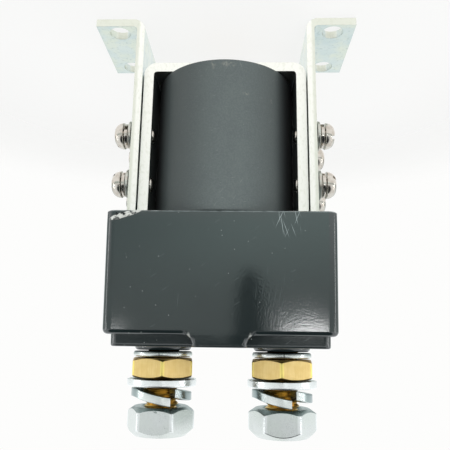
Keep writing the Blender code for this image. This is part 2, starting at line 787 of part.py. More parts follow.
def make_bridge(copper, nylon, root):
    """Make the moving contact bridge with its two pads, and its insulating bush."""
    bush_radius = rod_bore + BUSH_WALL
    outline = rounded_rectangle(bridge_half, BRIDGE_WIDTH / 2, BRIDGE_CORNER)
    bar = prism(outline, 0, BRIDGE_THICKNESS)
    bridge = add_object("contact_bridge", bar, copper, root, (0, 0, bridge_bottom))
    pads = []
    for name, side in SIDES.items():
        disc = prism(
            shifted(polygon(PAD_RADIUS, ROUND_SEGMENTS), side * stud_x, 0),
            bridge_top - BRIDGE_THICKNESS / 2,
            bridge_top + BRIDGE_PAD_HEIGHT,
        )
        pads.append(add_object(f"pad_{name}", disc))
    combine(bridge, pads, "UNION")
    bore = prism(
        polygon(bush_radius + GAP, ROUND_SEGMENTS), bridge_bottom - OVERCUT, bridge_top + OVERCUT
    )
    combine(bridge, [add_object("bridge_hole", bore)])
    profile = [
        (rod_bore, bush_bottom),
        (BUSH_FLANGE_RADIUS, bush_bottom),
        (BUSH_FLANGE_RADIUS, bush_bottom + BUSH_FLANGE_THICKNESS),
        (bush_radius, bush_bottom + BUSH_FLANGE_THICKNESS),
        (bush_radius, bridge_top),
        (rod_bore, bridge_top),
    ]
    add_object("bridge_bush", lathe(profile), nylon, root)


def block_half(rim_half, z):
    """Return half a size of the drafted block at height z."""
    return rim_half - (z - block_rim) * math.tan(BLOCK_DRAFT)


def tongue_half(z):
    """Return half the tongue's width at height z, with its fillet onto the ledge."""
    short = max(0.0, TONGUE_FILLET - (z - ledge_height))
    return TONGUE_WIDTH / 2 + TONGUE_FILLET - math.sqrt(TONGUE_FILLET**2 - short**2)


def body_section(z, inset, tongue_inset=0.0):
    """Return the outline of the block below its ledge, drawn in by the inset."""
    x, y = block_half(BLOCK_LENGTH / 2, z), block_half(BLOCK_DEPTH / 2, z)
    tongue = tongue_half(ledge_height)
    quarter = [(tongue, y - tongue_inset), (tongue + TONGUE_BLEND, y - inset)]
    center_x, center_y = x - BLOCK_CORNER, y - BLOCK_CORNER
    quarter += arc(center_x, center_y, BLOCK_CORNER - inset, math.pi / 2, 0, CORNER_STEPS)
    return [(px, py, z) for px, py in four_way(quarter)]


def step_section(z, inset=0.0):
    """Return the outline of the stepped top and its tongues at height z."""
    x, y = block_half(BLOCK_LENGTH / 2, z), block_half(BLOCK_DEPTH / 2, z)
    tongue = tongue_half(z) - inset
    step_x, step_y = x - STEP_INSET_X, y - STEP_INSET_Y
    quarter = [(tongue, y - inset), (tongue, step_y - inset)]
    center_x, center_y = step_x - STEP_CORNER, step_y - STEP_CORNER
    quarter += arc(center_x, center_y, STEP_CORNER - inset, math.pi / 2, 0, CORNER_STEPS)
    return [(px, py, z) for px, py in four_way(quarter)]


def block_sections():
    """Return the sections of the block's outer form from its rim to its top."""
    sections = [
        body_section(block_rim, RIM_CHAMFER, RIM_CHAMFER),
        body_section(block_rim + RIM_CHAMFER, 0.0),
    ]
    for i in range(3):
        angle = math.pi / 4 * i
        height = ledge_height - LEDGE_RADIUS * (1 - math.sin(angle))
        sections.append(body_section(height, LEDGE_RADIUS * (1 - math.cos(angle))))
    for i in range(CORNER_STEPS):
        angle = math.pi / 2 * i / (CORNER_STEPS - 1)
        sections.append(step_section(ledge_height + TONGUE_FILLET * (1 - math.cos(angle))))
    for i in range(3):
        angle = math.pi / 4 * i
        height = block_top - STEP_EDGE * (1 - math.sin(angle))
        sections.append(step_section(height, STEP_EDGE * (1 - math.cos(angle))))
    return sections


def cavity_outline():
    """Return the contact chamber's outline, with room for the two screw columns."""
    x = block_half(BLOCK_LENGTH / 2, ledge_height) - BLOCK_WALL
    y = block_half(BLOCK_DEPTH / 2, ledge_height) - BLOCK_WALL
    column_x = well_radius + COLUMN_WALL
    column_y = BLOCK_SCREW_OFFSET - column_x
    center_x, center_y = x - CHAMBER_CORNER, y - CHAMBER_CORNER
    quarter = [(column_x, column_y), (column_x, y)]
    quarter += arc(center_x, center_y, CHAMBER_CORNER, math.pi / 2, 0, CORNER_STEPS)
    return four_way(quarter)


def make_contact_block(black, root):
    """Mould the contact block and open its chamber, bores and screw wells."""
    block = add_object("contact_block", loft(block_sections()), black, root)
    bosses, tools = [], []
    boss = polygon(BOSS_RADIUS, WASHER_SEGMENTS)
    bore = polygon(stud_bore, ROUND_SEGMENTS)
    for name, side in SIDES.items():
        disc = prism(shifted(boss, side * stud_x, 0), block_top - BOSS_HEIGHT, boss_top)
        bosses.append(add_object(f"boss_{name}", disc))
        hole = prism(shifted(bore, side * stud_x, 0), cavity_top - OVERCUT, boss_top + OVERCUT)
        tools.append(add_object(f"stud_hole_{name}", hole))
    combine(block, bosses, "UNION")
    recess = rounded_rectangle(
        TOP_PLATE_LENGTH / 2 + GAP, TOP_PLATE_WIDTH / 2 + GAP, TOP_PLATE_CORNER
    )
    tools.append(add_object("recess", prism(recess, block_rim - OVERCUT, shelf_height)))
    chamber = prism(cavity_outline(), shelf_height - OVERCUT, cavity_top)
    tools.append(add_object("chamber", chamber))
    well_bottom = block_top - WELL_DEPTH
    well = polygon(well_radius, ROUND_SEGMENTS)
    shank = polygon(screw_hole, SMALL_SEGMENTS)
    for name, end in ENDS.items():
        y = end * BLOCK_SCREW_OFFSET
        pocket = prism(shifted(well, 0, y), well_bottom, block_top + OVERCUT)
        tools.append(add_object(f"well_{name}", pocket))
        hole = prism(shifted(shank, 0, y), shelf_height - OVERCUT, well_bottom + OVERCUT)
        tools.append(add_object(f"screw_hole_{name}", hole))
    combine(block, tools)


def make_block_screws(nickel, root):
    """Set the two recessed screws that hold the block to the top plate."""
    head_bottom = block_top - WELL_DEPTH + GAP
    length = head_bottom - plate_bottom
    for name, end in ENDS.items():
        screw = add_object(
            f"block_screw_{name}",
            make_screw_mesh(length, BLOCK_SCREW_HEAD_RADIUS, BLOCK_SCREW_HEAD_HEIGHT),
            nickel,
            root,
            (0, end * BLOCK_SCREW_OFFSET, head_bottom),
        )
        cut_slot(screw, BLOCK_SCREW_HEAD_RADIUS, BLOCK_SCREW_HEAD_HEIGHT)


def make_stud_mesh():
    """Return a terminal stud with a round head and a contact pad below it."""
    chamfer = STUD_END_CHAMFER
    return lathe(
        [
            (0, stud_pad_bottom),
            (PAD_RADIUS, stud_pad_bottom),
            (PAD_RADIUS, stud_head_bottom),
            (STUD_HEAD_RADIUS, stud_head_bottom),
            (STUD_HEAD_RADIUS, stud_head_top),
            (STUD_RADIUS, stud_head_top),
            (STUD_RADIUS, stud_top - chamfer),
            (STUD_RADIUS - chamfer, stud_top),
            (0, stud_top),
        ],
        ROUND_SEGMENTS,
    )


def make_nut(name, thickness, first_corner, metal, root, location):
    """Cut a hexagon nut with turned chamfers on both faces and a plain bore."""
    corner_radius = NUT_ACROSS_FLATS / math.sqrt(3)
    face_radius = NUT_ACROSS_FLATS / 2
    limit = corner_radius + OVERCUT
    drop = (limit - face_radius) * math.tan(NUT_CHAMFER_ANGLE)
    hexagon = prism(polygon(corner_radius, 6, first_corner), -OVERCUT, thickness + OVERCUT)
    nut = add_object(name, hexagon, metal, root, location)
    turned = lathe(
        [
            (stud_bore, 0),
            (face_radius, 0),
            (limit, drop),
            (limit, thickness - drop),
            (face_radius, thickness),
            (stud_bore, thickness),
        ],
        ROUND_SEGMENTS,
    )
    combine(nut, [add_object("turned", turned, None, root, location)], "INTERSECT")


def make_terminals(brass, zinc, root):
    """Stack washers and nuts on each terminal stud."""
    for name, side in SIDES.items():
        x = side * stud_x
        add_object(f"terminal_stud_{name}", make_stud_mesh(), brass, root, (x, 0, 0))
        seat = split_ring(
            stud_bore, SEAT_WASHER_RADIUS, SEAT_WASHER_THICKNESS, SEAT_WASHER_SPLIT, end=-math.pi / 2
        )
        add_object(f"seat_washer_{name}", seat, zinc, root, (x, 0, seat_washer_bottom))
        place = (x, 0, brass_nut_bottom)
        turn = BRASS_NUT_TURN[name]
        make_nut(f"brass_nut_{name}", BRASS_NUT_THICKNESS, turn, brass, root, place)
        washer = ring(
            stud_bore, FLAT_WASHER_RADIUS, FLAT_WASHER_THICKNESS, WASHER_CHAMFER, WASHER_SEGMENTS
        )
        add_object(f"flat_washer_{name}", washer, zinc, root, (x, 0, flat_washer_bottom))
        spring = split_ring(
            stud_bore,
            SPRING_WASHER_RADIUS,
            SPRING_WASHER_THICKNESS,
            SPRING_WASHER_SPLIT,
            SPRING_WASHER_RISE,
            SPRING_WASHER_END[name],
            WASHER_SEGMENTS,
        )
        add_object(f"spring_washer_{name}", spring, zinc, root, (x, 0, spring_washer_bottom))
        place = (x, 0, steel_nut_bottom)
        turn = STEEL_NUT_TURN[name]
        make_nut(f"steel_nut_{name}", STEEL_NUT_THICKNESS, turn, zinc, root, place)


def main():
    """Build the contactor."""
    clear_scene()
    zinc = make_material("zinc_plate", (0.72, 0.76, 0.72), 0.35, 0.9)
    nickel = make_material("nickel_plate", (0.66, 0.62, 0.58), 0.25, 1.0)
    steel = make_material("plated_steel", (0.62, 0.63, 0.64), 0.35, 1.0)
    spring_steel = make_material("spring_steel", (0.42, 0.42, 0.44), 0.3, 1.0)
    brass = make_material("brass", (0.72, 0.50, 0.20), 0.3, 1.0)
    copper = make_material("copper", (0.72, 0.34, 0.20), 0.35, 1.0)
    tin = make_material("tin_plate", (0.70, 0.70, 0.68), 0.3, 1.0)
    gloss_black = make_material("block_plastic", (0.055, 0.07, 0.075), 0.28, 0.0)
    matte_black = make_material("jacket_plastic", (0.06, 0.075, 0.078), 0.7, 0.0)
    nylon = make_material("nylon", (0.72, 0.70, 0.62), 0.5, 0.0)

    frame_root = make_empty("contactor_frame")
    plunger_root = make_empty("plunger_axis")
    bridge_root = make_empty("bridge_axis")
    bridge_root.parent = plunger_root

    make_yoke(zinc, frame_root)
    make_top_plate(steel, frame_root)
    make_brackets(zinc, frame_root)
    make_bracket_fasteners(nickel, zinc, frame_root)
    make_coil(matte_black, copper, nylon, frame_root)
    make_blades(tin, frame_root)
    make_guide_tube(brass, frame_root)
    make_fixed_core(steel, frame_root)
    make_contact_block(gloss_black, frame_root)
    make_block_screws(nickel, frame_root)
    make_terminals(brass, zinc, frame_root)
    make_plunger(steel, plunger_root)
    make_rod_pieces(steel, spring_steel, plunger_root)
    make_springs(spring_steel, frame_root, plunger_root)
    make_bridge(copper, nylon, bridge_root)


if __name__ == "__main__":
    main()
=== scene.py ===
"""Finished look of a two-stud DC contactor, of the kind golf carts use as their solenoid.

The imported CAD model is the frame. The object stands on its bracket tabs at z = 0
with its studs up, left and right are -X and +X, front and rear are -Y and +Y.
Lengths are in metres unless a name says millimetres.
"""

import logging
import math
from dataclasses import dataclass
from dataclasses import field
from enum import Enum
from typing import Iterable
from typing import Optional
from typing import Sequence

import bmesh
import bpy
from bmesh.types import BMesh
from bpy.types import Material
from bpy.types import Mesh
from bpy.types import Node
from bpy.types import NodeSocket
from bpy.types import NodeTree
from bpy.types import Object
from mathutils import Matrix
from mathutils import Vector


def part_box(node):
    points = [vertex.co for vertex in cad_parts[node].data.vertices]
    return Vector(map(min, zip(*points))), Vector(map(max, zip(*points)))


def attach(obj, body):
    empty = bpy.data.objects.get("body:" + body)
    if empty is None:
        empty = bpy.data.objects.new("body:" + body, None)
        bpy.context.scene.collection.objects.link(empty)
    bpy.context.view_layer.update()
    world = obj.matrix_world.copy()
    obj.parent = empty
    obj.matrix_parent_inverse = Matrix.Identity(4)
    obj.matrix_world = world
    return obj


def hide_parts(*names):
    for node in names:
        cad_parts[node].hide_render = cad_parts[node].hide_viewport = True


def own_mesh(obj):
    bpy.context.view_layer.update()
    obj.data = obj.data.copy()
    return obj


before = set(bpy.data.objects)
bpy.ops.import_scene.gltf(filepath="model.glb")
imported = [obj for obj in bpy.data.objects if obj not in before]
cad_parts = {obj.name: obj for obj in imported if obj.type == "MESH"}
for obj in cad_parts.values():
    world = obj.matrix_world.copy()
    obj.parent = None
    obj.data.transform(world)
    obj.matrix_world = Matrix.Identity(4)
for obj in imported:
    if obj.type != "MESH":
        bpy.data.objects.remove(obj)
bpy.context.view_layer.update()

logging.basicConfig(level=logging.INFO, format="%(name)s: %(message)s")
logger = logging.getLogger("contactor")

Point = tuple[float, float, float]
Flat = tuple[float, float]
Colour = tuple[float, float, float, float]

ORIGIN: Point = (0.0, 0.0, 0.0)
EVEN: Point = (1.0, 1.0, 1.0)
MM = 0.001
# Clearance that the frame leaves between pieces that touch on the real part.
GAP = 0.3 * MM
# Distance below which two vertices are one.
MERGE = 0.001 * MM
# How far a cutting shape runs past what it cuts.
OVERCUT = 1.0 * MM


class Body(Enum):
    """Rigid bodies of the frame."""

    CONTACTOR = "contactor"
    PLUNGER = "plunger"
    BRIDGE = "bridge"


class Side(Enum):
    """The two sides, with the sign of their X."""

    LEFT = -1
    RIGHT = 1

    @property
    def word(self) -> str:
        """Side's name as the frame spells it."""
        return self.name.lower()


class Axis(Enum):
    """The object's axes, by their place in a vector."""

    X = 0
    Y = 1
    Z = 2


def linear(colour: str) -> Colour:
    """Turn an sRGB hex colour into a linear one.

    Args:
        colour: sRGB hex colour.

    Returns:
        Its linear red, green, blue and alpha.
    """
    channels = [int(colour[i : i + 2], 16) / 255 for i in (1, 3, 5)]
    values = [c / 12.92 if c <= 0.04045 else ((c + 0.055) / 1.055) ** 2.4 for c in channels]
    return (*values, 1.0)


# Nodes and surfaces


def add_node(tree: NodeTree, kind: str, values: Optional[dict] = None) -> Node:
    """Add a node to a tree with its settings and links.

    Args:
        tree: Tree that takes the node.
        kind: Blender's type name of the node.
        values: What each property, by its name, and each input, by its name or place,
            gets. An input gets a constant, or a socket or Value that is linked to it.

    Returns:
        The new node.
    """
    node = tree.nodes.new(kind)
    values = dict(values or {})
    for key in [key for key in values if isinstance(key, str) and hasattr(node, key)]:
        setattr(node, key, values.pop(key))
    for key, value in values.items():
        if isinstance(value, Value):
            value = value.socket
        if isinstance(value, NodeSocket):
            tree.links.new(value, node.inputs[key])
        else:
            node.inputs[key].default_value = value
    return node


def work_out(tree: NodeTree, kind: str, values: dict, output: "int | str" = 0) -> "Value":
    """Add a node and return one of its outputs as a number."""
    return Value(tree, add_node(tree, kind, values).outputs[output])


class Value:
    """A number or vector that a tree works out. Arithmetic on a number adds nodes."""

    def __init__(self, tree: NodeTree, socket: NodeSocket) -> None:
        """Take one of the tree's sockets."""
        self.tree = tree
        self.socket = socket

    def reckon(self, operation: str, *others: "Value | float") -> "Value":
        """Return the result of one of Blender's operations on this number and others."""
        terms = dict(enumerate((self, *others)))
        return work_out(self.tree, "ShaderNodeMath", {"operation": operation, **terms})

    def __add__(self, other: "Value | float") -> "Value":
        """Return the sum."""
        return self.reckon("ADD", other)

    def __sub__(self, other: "Value | float") -> "Value":
        """Return the difference."""
        return self.reckon("SUBTRACT", other)

    def __rsub__(self, other: float) -> "Value":
        """Return a plain number less this one."""
        return self * -1.0 + other

    def __mul__(self, other: "Value | float") -> "Value":
        """Return the product."""
        return self.reckon("MULTIPLY", other)

    def __truediv__(self, other: "Value | float") -> "Value":
        """Return the quotient."""
        return self.reckon("DIVIDE", other)

    def __abs__(self) -> "Value":
        """Return the number without its sign."""
        return self.reckon("ABSOLUTE")


class Surface:
    """One material's node tree while its patterns are laid on it."""

    def __init__(self, finish: "Finish") -> None:
        """Start from the finish's plain values.

        Args:
            finish: Finish whose name, colour, roughness and metal the shader takes.
        """
        self.material = bpy.data.materials.new(finish.name)
        self.material.use_nodes = True
        self.tree = self.material.node_tree
        self.shader = self.tree.nodes["Principled BSDF"]
        self.shader.inputs["Base Color"].default_value = linear(finish.colour)
        self.shader.inputs["Roughness"].default_value = finish.roughness
        self.shader.inputs["Metallic"].default_value = finish.metallic
        if not finish.metallic:
            self.shader.inputs["IOR"].default_value = finish.ior
        place = add_node(self.tree, "ShaderNodeTexCoord")
        self.place = place.outputs["Object"]
        self.normal = place.outputs["Normal"]
        self.material.diffuse_color = linear(finish.colour)

    def ramp(self, value: Value, start: float, end: float) -> Value:
        """Return a smooth step.

        Args:
            value: What the step follows.
            start: Where it is 0.
            end: Where it is 1, on either side.

        Returns:
            The step.
        """
        low, high = (0.0, 1.0) if start < end else (1.0, 0.0)
        values = {"interpolation_type": "SMOOTHSTEP", "Value": value, 3: low, 4: high}
        return work_out(self.tree, "ShaderNodeMapRange", {**values, 1: min(start, end), 2: max(start, end)})

    def coordinates(
        self,
        stretch: Point = EVEN,
        shift: Point = ORIGIN,
        turn: Point = ORIGIN,
        place: Optional[Value] = None,
    ) -> Value:
        """Return coordinates, shifted, turned and then squeezed by 1 / stretch.

        Args:
            stretch: How many times longer the pattern is along each axis.
            shift: Point that becomes the pattern's centre.
            turn: Euler angles of the pattern.
            place: Coordinates to start from, or None for the object's.

        Returns:
            The pattern's own coordinates.
        """
        values = {"vector_type": "TEXTURE", "Location": shift, "Rotation": turn, "Scale": stretch}
        return work_out(self.tree, "ShaderNodeMapping", {**values, "Vector": place or self.place})

    def noise(
        self, size: float, detail: float = 2.0, stretch: Point = EVEN, shift: Point = ORIGIN
    ) -> Value:
        """Return noise from 0 to 1.

        Args:
            size: Size of one patch in millimetres.
            detail: Octaves of finer noise on it.
            stretch: How many times longer a patch is along each axis.
            shift: Point that becomes the noise's centre.

        Returns:
            The noise.
        """
        values = {"Scale": 1 / (size * MM), "Detail": detail, "Vector": self.coordinates(stretch, shift)}
        return work_out(self.tree, "ShaderNodeTexNoise", values)

    def blotches(self, size: float, share: float = 0.5, softness: float = 0.1, **noise: object) -> Value:
        """Return a mask of patches.

        Args:
            size: Size of one patch in millimetres.
            share: Share of the surface outside the patches, about.
            softness: Width of a patch's edge, as a share of the noise's range.
            noise: Detail, stretch and shift of the noise.

        Returns:
            The mask.
        """
        level = 0.3 + 0.4 * share
        return self.ramp(self.noise(size, **noise), level - softness, level + softness)

    def specks(self, spacing: float, radius: float, share: float, shift: Point = ORIGIN) -> Value:
        """Return a mask of small round specks.

        Args:
            spacing: Distance between the places that may hold a speck, in millimetres.
            radius: Radius of a speck in millimetres.
            share: Share of the places that hold one.
            shift: Point that becomes the pattern's centre.

        Returns:
            The mask.
        """
        values = {"Scale": 1 / (spacing * MM), "Vector": self.coordinates(shift=shift)}
        return self._marks(values, radius / spacing, 0.5 * radius / spacing, share)

    def _marks(self, values: dict, edge: float, core: float, share: float) -> Value:
        """Return a mask of marks in the middle of cells.

        Args:
            values: Settings and coordinates of the cells.
            edge: Distance from the middle at which a mark ends.
            core: Distance within which it is full.
            share: Share of the cells that hold one.

        Returns:
            The mask.
        """
        cells = add_node(self.tree, "ShaderNodeTexVoronoi", values)
        mark = self.ramp(Value(self.tree, cells.outputs["Distance"]), edge, core)
        pick = work_out(self.tree, "ShaderNodeSeparateColor", {0: cells.outputs["Color"]})
        return mark * pick.reckon("GREATER_THAN", 1 - share)

    def scratches(
        self,
        spacing: float,
        width: float,
        length: float,
        share: float = 0.3,
        tilt: float = 0.0,
        shift: Point = ORIGIN,
    ) -> Value:
        """Return a mask of thin marks on the faces that look to the front or the rear.

        Args:
            spacing: Distance between the rows that may hold marks, in millimetres.
            width: Width of a mark in millimetres.
            length: Length of a mark in millimetres.
            share: Share of the places that hold one.
            tilt: Angle of the marks from upright.
            shift: Point that becomes the pattern's centre.

        Returns:
            The mask.
        """
        bend = self.noise(14.0, 1.0, shift=shift)
        values = {"operation": "MULTIPLY_ADD", 0: bend, 1: (2.5 * MM, 0.0, 0.0), 2: self.place}
        bent = work_out(self.tree, "ShaderNodeVectorMath", values)
        flat = self.coordinates((1.0, 1.0, length / width), shift, (0.0, tilt, 0.0), bent)
        across, up = self.component(flat, Axis.X), self.component(flat, Axis.Z)
        rows = work_out(self.tree, "ShaderNodeCombineXYZ", {0: across, 1: up})
        values = {"voronoi_dimensions": "2D", "Scale": 1 / (spacing * MM), "Vector": rows}
        return self._marks(values, 0.5 * width / spacing, 0.2 * width / spacing, share)

    def near(self, centre: Point, size: Point, inner: float = 0.4, turn: Point = ORIGIN) -> Value:
        """Return a soft oval mask.

        Args:
            centre: Middle of the oval.
            size: Half its length along each axis.
            inner: Share of the radius inside which it is full.
            turn: Euler angles of the oval.

        Returns:
            The mask.
        """
        values = {"operation": "LENGTH", 0: self.coordinates(size, centre, turn)}
        return self.ramp(work_out(self.tree, "ShaderNodeVectorMath", values, "Value"), 1.0, inner)

    def component(self, vector: "Value | NodeSocket", axis: Axis) -> Value:
        """Return one component of a vector."""
        return work_out(self.tree, "ShaderNodeSeparateXYZ", {0: vector}, axis.value)

    def facing(self, axis: Axis, start: float = 0.75, end: float = 0.95) -> Value:
        """Return a mask of faces along an axis, from the first cosine to the second."""
        return self.ramp(abs(self.component(self.normal, axis)), start, end)

    def from_axis(self, x: float) -> Value:
        """Measure from the nearer of two upright axes.

        Args:
            x: The axis's X on either side, at Y = 0.

        Returns:
            The distance.
        """
        across = abs(self.component(self.place, Axis.X)) - x
        depth = self.component(self.place, Axis.Y)
        return (across * across + depth * depth).reckon("SQRT")

    def tint(self, mask: Value, colour: str, strength: float = 1.0) -> None:
        """Lay an sRGB hex colour on where a mask says, at the given strength."""
        self._mix("Base Color", mask, linear(colour), strength)

    def dull(self, mask: Value, roughness: float, strength: float = 1.0) -> None:
        """Bring the roughness nearer a value where a mask says."""
        self._mix("Roughness", mask, roughness, strength)

    def bump(self, height: Value, depth: float) -> None:
        """Add relief to the surface, on top of what it has.

        Args:
            height: Height from 0 to 1.
            depth: Height in millimetres of a full step.
        """
        values = {"Strength": 1.0, "Distance": depth * MM, "Height": height}
        socket = self.shader.inputs["Normal"]
        if socket.is_linked:
            values["Normal"] = socket.links[0].from_socket
        self.tree.links.new(add_node(self.tree, "ShaderNodeBump", values).outputs[0], socket)

    def _mix(self, target: str, mask: Value, value: object, strength: float) -> None:
        """Mix a value into one of the shader's inputs.

        Args:
            target: Name of the input.
            mask: Mask from 0 to 1.
            value: Linear colour or number to mix in.
            strength: Factor on the mask.
        """
        socket = self.shader.inputs[target]
        is_colour = target == "Base Color"
        first, second, result = (6, 7, 2) if is_colour else (2, 3, 0)
        values = {"data_type": "RGBA" if is_colour else "FLOAT", second: value}
        values[0] = mask * strength if strength < 1 else mask
        if socket.is_linked:
            values[first] = socket.links[0].from_socket
        else:
            values[first] = tuple(socket.default_value) if is_colour else socket.default_value
        self.tree.links.new(add_node(self.tree, "ShaderNodeMix", values).outputs[result], socket)


# Finishes


@dataclass(frozen=True)
class Finish:
    """What every finish starts from.

    Attributes:
        name: Name of the material.
        slot: Material slot of the record that it stands for. Not used.
        colour: sRGB hex colour of the clean surface.
        roughness: Roughness of the clean surface.
        metallic: 1 for a metal.
        ior: Index of refraction, which a metal leaves at its default.
    """

    name: str
    slot: str
    colour: str
    roughness: float
    metallic: float = 0.0
    ior: float = 1.5

    def material(self) -> Material:
        """Return the material with all its patterns."""
        coat = Surface(self)
        self.dress(coat)
        return coat.material

    def dress(self, coat: Surface) -> None:
        """Lay this finish's patterns on.

        Args:
            coat: Surface that starts with the finish's plain values.
        """
        raise NotImplementedError


@dataclass(frozen=True)
class ZincPlate(Finish):
    """Cold-rolled steel strip, sheared, folded, zinc-plated and blue-passivated.

    The passivation gives pale blue and yellow-green clouds over a satin metal.
    Rolling leaves faint lines along the strip, and the sheared edges are paler,
    duller and streaked across the thickness. Inside the frame, beside the coil,
    the faces are painted near black as shade and made duller.
    """

    cloud_blue: str = "#BFCDCD"
    cloud_yellow: str = "#D9DDCB"
    edge: str = "#FAFAF4"
    tear: str = "#D4D7C4"
    torn: float = 0.2
    stain: str = "#D3D7C8"
    # Painted shade for the frame's inner faces beside the coil.
    film: str = "#24292A"
    sheared: Optional[Axis] = Axis.Y

    def dress(self, coat: Surface) -> None:
        """Lay clouds, rolling lines, stains and sheared edges."""
        coat.tint(coat.blotches(7.0, 0.5, 0.2), self.cloud_blue, 0.8)
        coat.tint(coat.blotches(5.0, 0.6, 0.15, shift=(0.03, 0.01, 0.02)), self.cloud_yellow, 0.6)
        coat.tint(coat.blotches(0.9, 0.8, 0.08, detail=4.0), "#A3B1AF", 0.4)
        coat.dull(coat.noise(2.4, 3.0), self.roughness + 0.14, 0.6)
        coat.bump(coat.noise(0.22, 2.0, (9.0, 1.0, 60.0)), 0.012)
        coat.bump(coat.noise(0.5, 3.0), 0.01)
        if self.sheared:
            cut = coat.facing(self.sheared)
            streaks = coat.noise(0.8, 3.0, (1.0, 8.0, 1.8))
            tears = coat.ramp(streaks, 0.5, 0.66)
            coat.tint(cut, self.edge, 1.0)
            coat.dull(cut, 0.6)
            coat.tint(cut * tears, self.tear, self.torn)
            across = abs(coat.component(coat.place, Axis.X))
            outside = coat.ramp(across, 26.2 * MM, 27.0 * MM)
            coat.tint(cut * outside, self.stain, 0.55)
            # Painted shade: the frame's inner faces beside the coil are tinted near black and dulled,
            # standing in for the shade in that pocket.
            inside = coat.ramp(across, 23.6 * MM, 23.2 * MM) * coat.facing(Axis.X)
            coat.tint(inside, self.film, 0.92)
            coat.dull(inside, 0.85)
            coat.bump(cut * streaks, 0.03)


@dataclass(frozen=True)
class PlatedFastener(Finish):
    """Turned or pressed steel fastener with bright zinc and a clear passivation.

    It is smoother than strip and reflects its surroundings softly. Its corners
    are painted brighter, partly as rubbing where spanners and neighbours have
    touched them and partly as painted highlight. Faces turned down, towards the
    block, are painted darker green as shade and reflection, and faces turned
    sideways may be painted in a colour of their own as shade and reflection.
    """

    # Distance from the stud's axis of the corners painted bright, partly as rubbed wear and partly as
    # painted highlight, in millimetres.
    corner_radius: float = 9.62
    rub: str = "#F4F6F6"
    # Painted shade and reflection: colour of faces turned down and, where given, of faces turned sideways.
    underside: str = "#617675"
    sides: Optional[str] = None

    def dress(self, coat: Surface) -> None:
        """Lay clouds, painted shade on downward and sideways faces, turning lines, bright corners (partly
        rubbed wear, partly painted highlight) and handling marks.
        """
        coat.tint(coat.blotches(6.0, 0.5, 0.3), "#D0D5D1", 0.5)
        coat.tint(coat.blotches(5.0, 0.55, 0.25, shift=(0.02, 0.03, 0.01)), "#D6DDD6", 0.5)
        coat.dull(coat.noise(1.2, 3.0), self.roughness + 0.12, 0.7)
        # Painted shade and reflection: faces turned down are tinted darker green.
        under = coat.ramp(coat.component(coat.normal, Axis.Z), -0.2, -0.6)
        coat.tint(under, self.underside, 0.78)
        # Painted shade and reflection: faces turned sideways take the given colour.
        if self.sides:
            coat.tint(coat.facing(Axis.X, 0.4, 0.8), self.sides, 0.6)
        radius = coat.from_axis(TERMINALS.stud_x)
        # Corners painted bright: partly rubbed wear, partly painted highlight.
        corner = coat.ramp(radius, (self.corner_radius - 0.3) * MM, self.corner_radius * MM)
        coat.tint(corner, self.rub, 0.8)
        rings = (radius * (math.tau / (0.25 * MM))).reckon("SINE")
        coat.bump(rings * coat.facing(Axis.Z, 0.5, 0.9), 0.006)
        coat.bump(coat.noise(0.18, 2.0, (1.0, 1.0, 18.0)), 0.01)
        coat.tint(coat.scratches(0.5, 0.07, 2.5, 0.2, 1.2), "#8F999D", 0.6)


@dataclass(frozen=True)
class NickelPlate(Finish):
    """Bright nickel over brass or steel, barrel-plated.

    It is the smoothest metal here and warm beside zinc. Barrel plating leaves
    tiny dings and a faint haze in the corners.
    """

    def dress(self, coat: Surface) -> None:
        """Lay haze and dings."""
        coat.tint(coat.blotches(1.4, 0.55, 0.15, detail=3.0), "#B3A99E", 0.7)
        coat.dull(coat.blotches(0.9, 0.6, 0.15, detail=3.0), self.roughness + 0.16, 0.7)
        coat.bump(coat.specks(0.6, 0.14, 0.3), 0.02)
        coat.bump(coat.noise(0.7, 2.0), 0.008)


@dataclass(frozen=True)
class DrawnBrass(Finish):
    """Free-cutting brass bar, drawn to a hexagon or turned and threaded.

    Drawing leaves fine upright grain on the flats, and handling leaves the metal
    satin with brown tarnish in the chamfers. Its corners are painted bright,
    partly as rubbed wear and partly as painted highlight.
    """

    # Distance from the stud's axis of the corners painted bright (partly rubbed wear, partly painted
    # highlight), and width of the grain, in millimetres.
    corner_radius: float = 9.62
    grain: float = 0.2
    shade: str = "#D8BB7A"
    tarnish: str = "#AC8440"

    def dress(self, coat: Surface) -> None:
        """Lay grain, tarnish and bright corners that are partly rubbed wear and partly painted highlight.
        """
        grain = coat.noise(self.grain, 3.0, (1.0, 1.0, 26.0))
        slope = abs(coat.component(coat.normal, Axis.Z))
        upright = coat.ramp(slope, 0.3, 0.1)
        coat.tint(coat.ramp(grain, 0.35, 0.65), self.shade, 0.5)
        coat.tint(coat.blotches(2.2, 0.55, 0.15, detail=4.0), self.shade, 0.5)
        coat.tint(coat.ramp(slope, 0.2, 0.6), self.tarnish, 0.6)
        coat.dull(coat.noise(0.9, 3.0) * upright, self.roughness + 0.2)
        radius = coat.from_axis(TERMINALS.stud_x)
        # Corners painted bright yellow: partly rubbed wear, partly painted highlight.
        corner = coat.ramp(radius, (self.corner_radius - 0.2) * MM, self.corner_radius * MM)
        coat.tint(corner * upright, "#FFE88A")
        coat.bump(grain, 0.03)
        coat.bump(coat.noise(0.12, 2.0), 0.006)


@dataclass(frozen=True)
class TurnedSteel(Finish):
    """Soft iron or steel turned on a lathe and lightly oiled.

    The tool leaves fine rings along the axis and around the faces.
    """

    def dress(self, coat: Surface) -> None:
        """Lay turning rings and a thin film of oil."""
        height = coat.component(coat.place, Axis.Z)
        coat.bump((height * (math.tau / (0.3 * MM))).reckon("SINE"), 0.004)
        coat.bump(coat.noise(0.4, 3.0), 0.006)
        coat.tint(coat.blotches(3.0, 0.55, 0.2, detail=4.0), "#8C8A84", 0.6)
        coat.dull(coat.noise(1.8, 3.0), self.roughness + 0.18, 0.8)


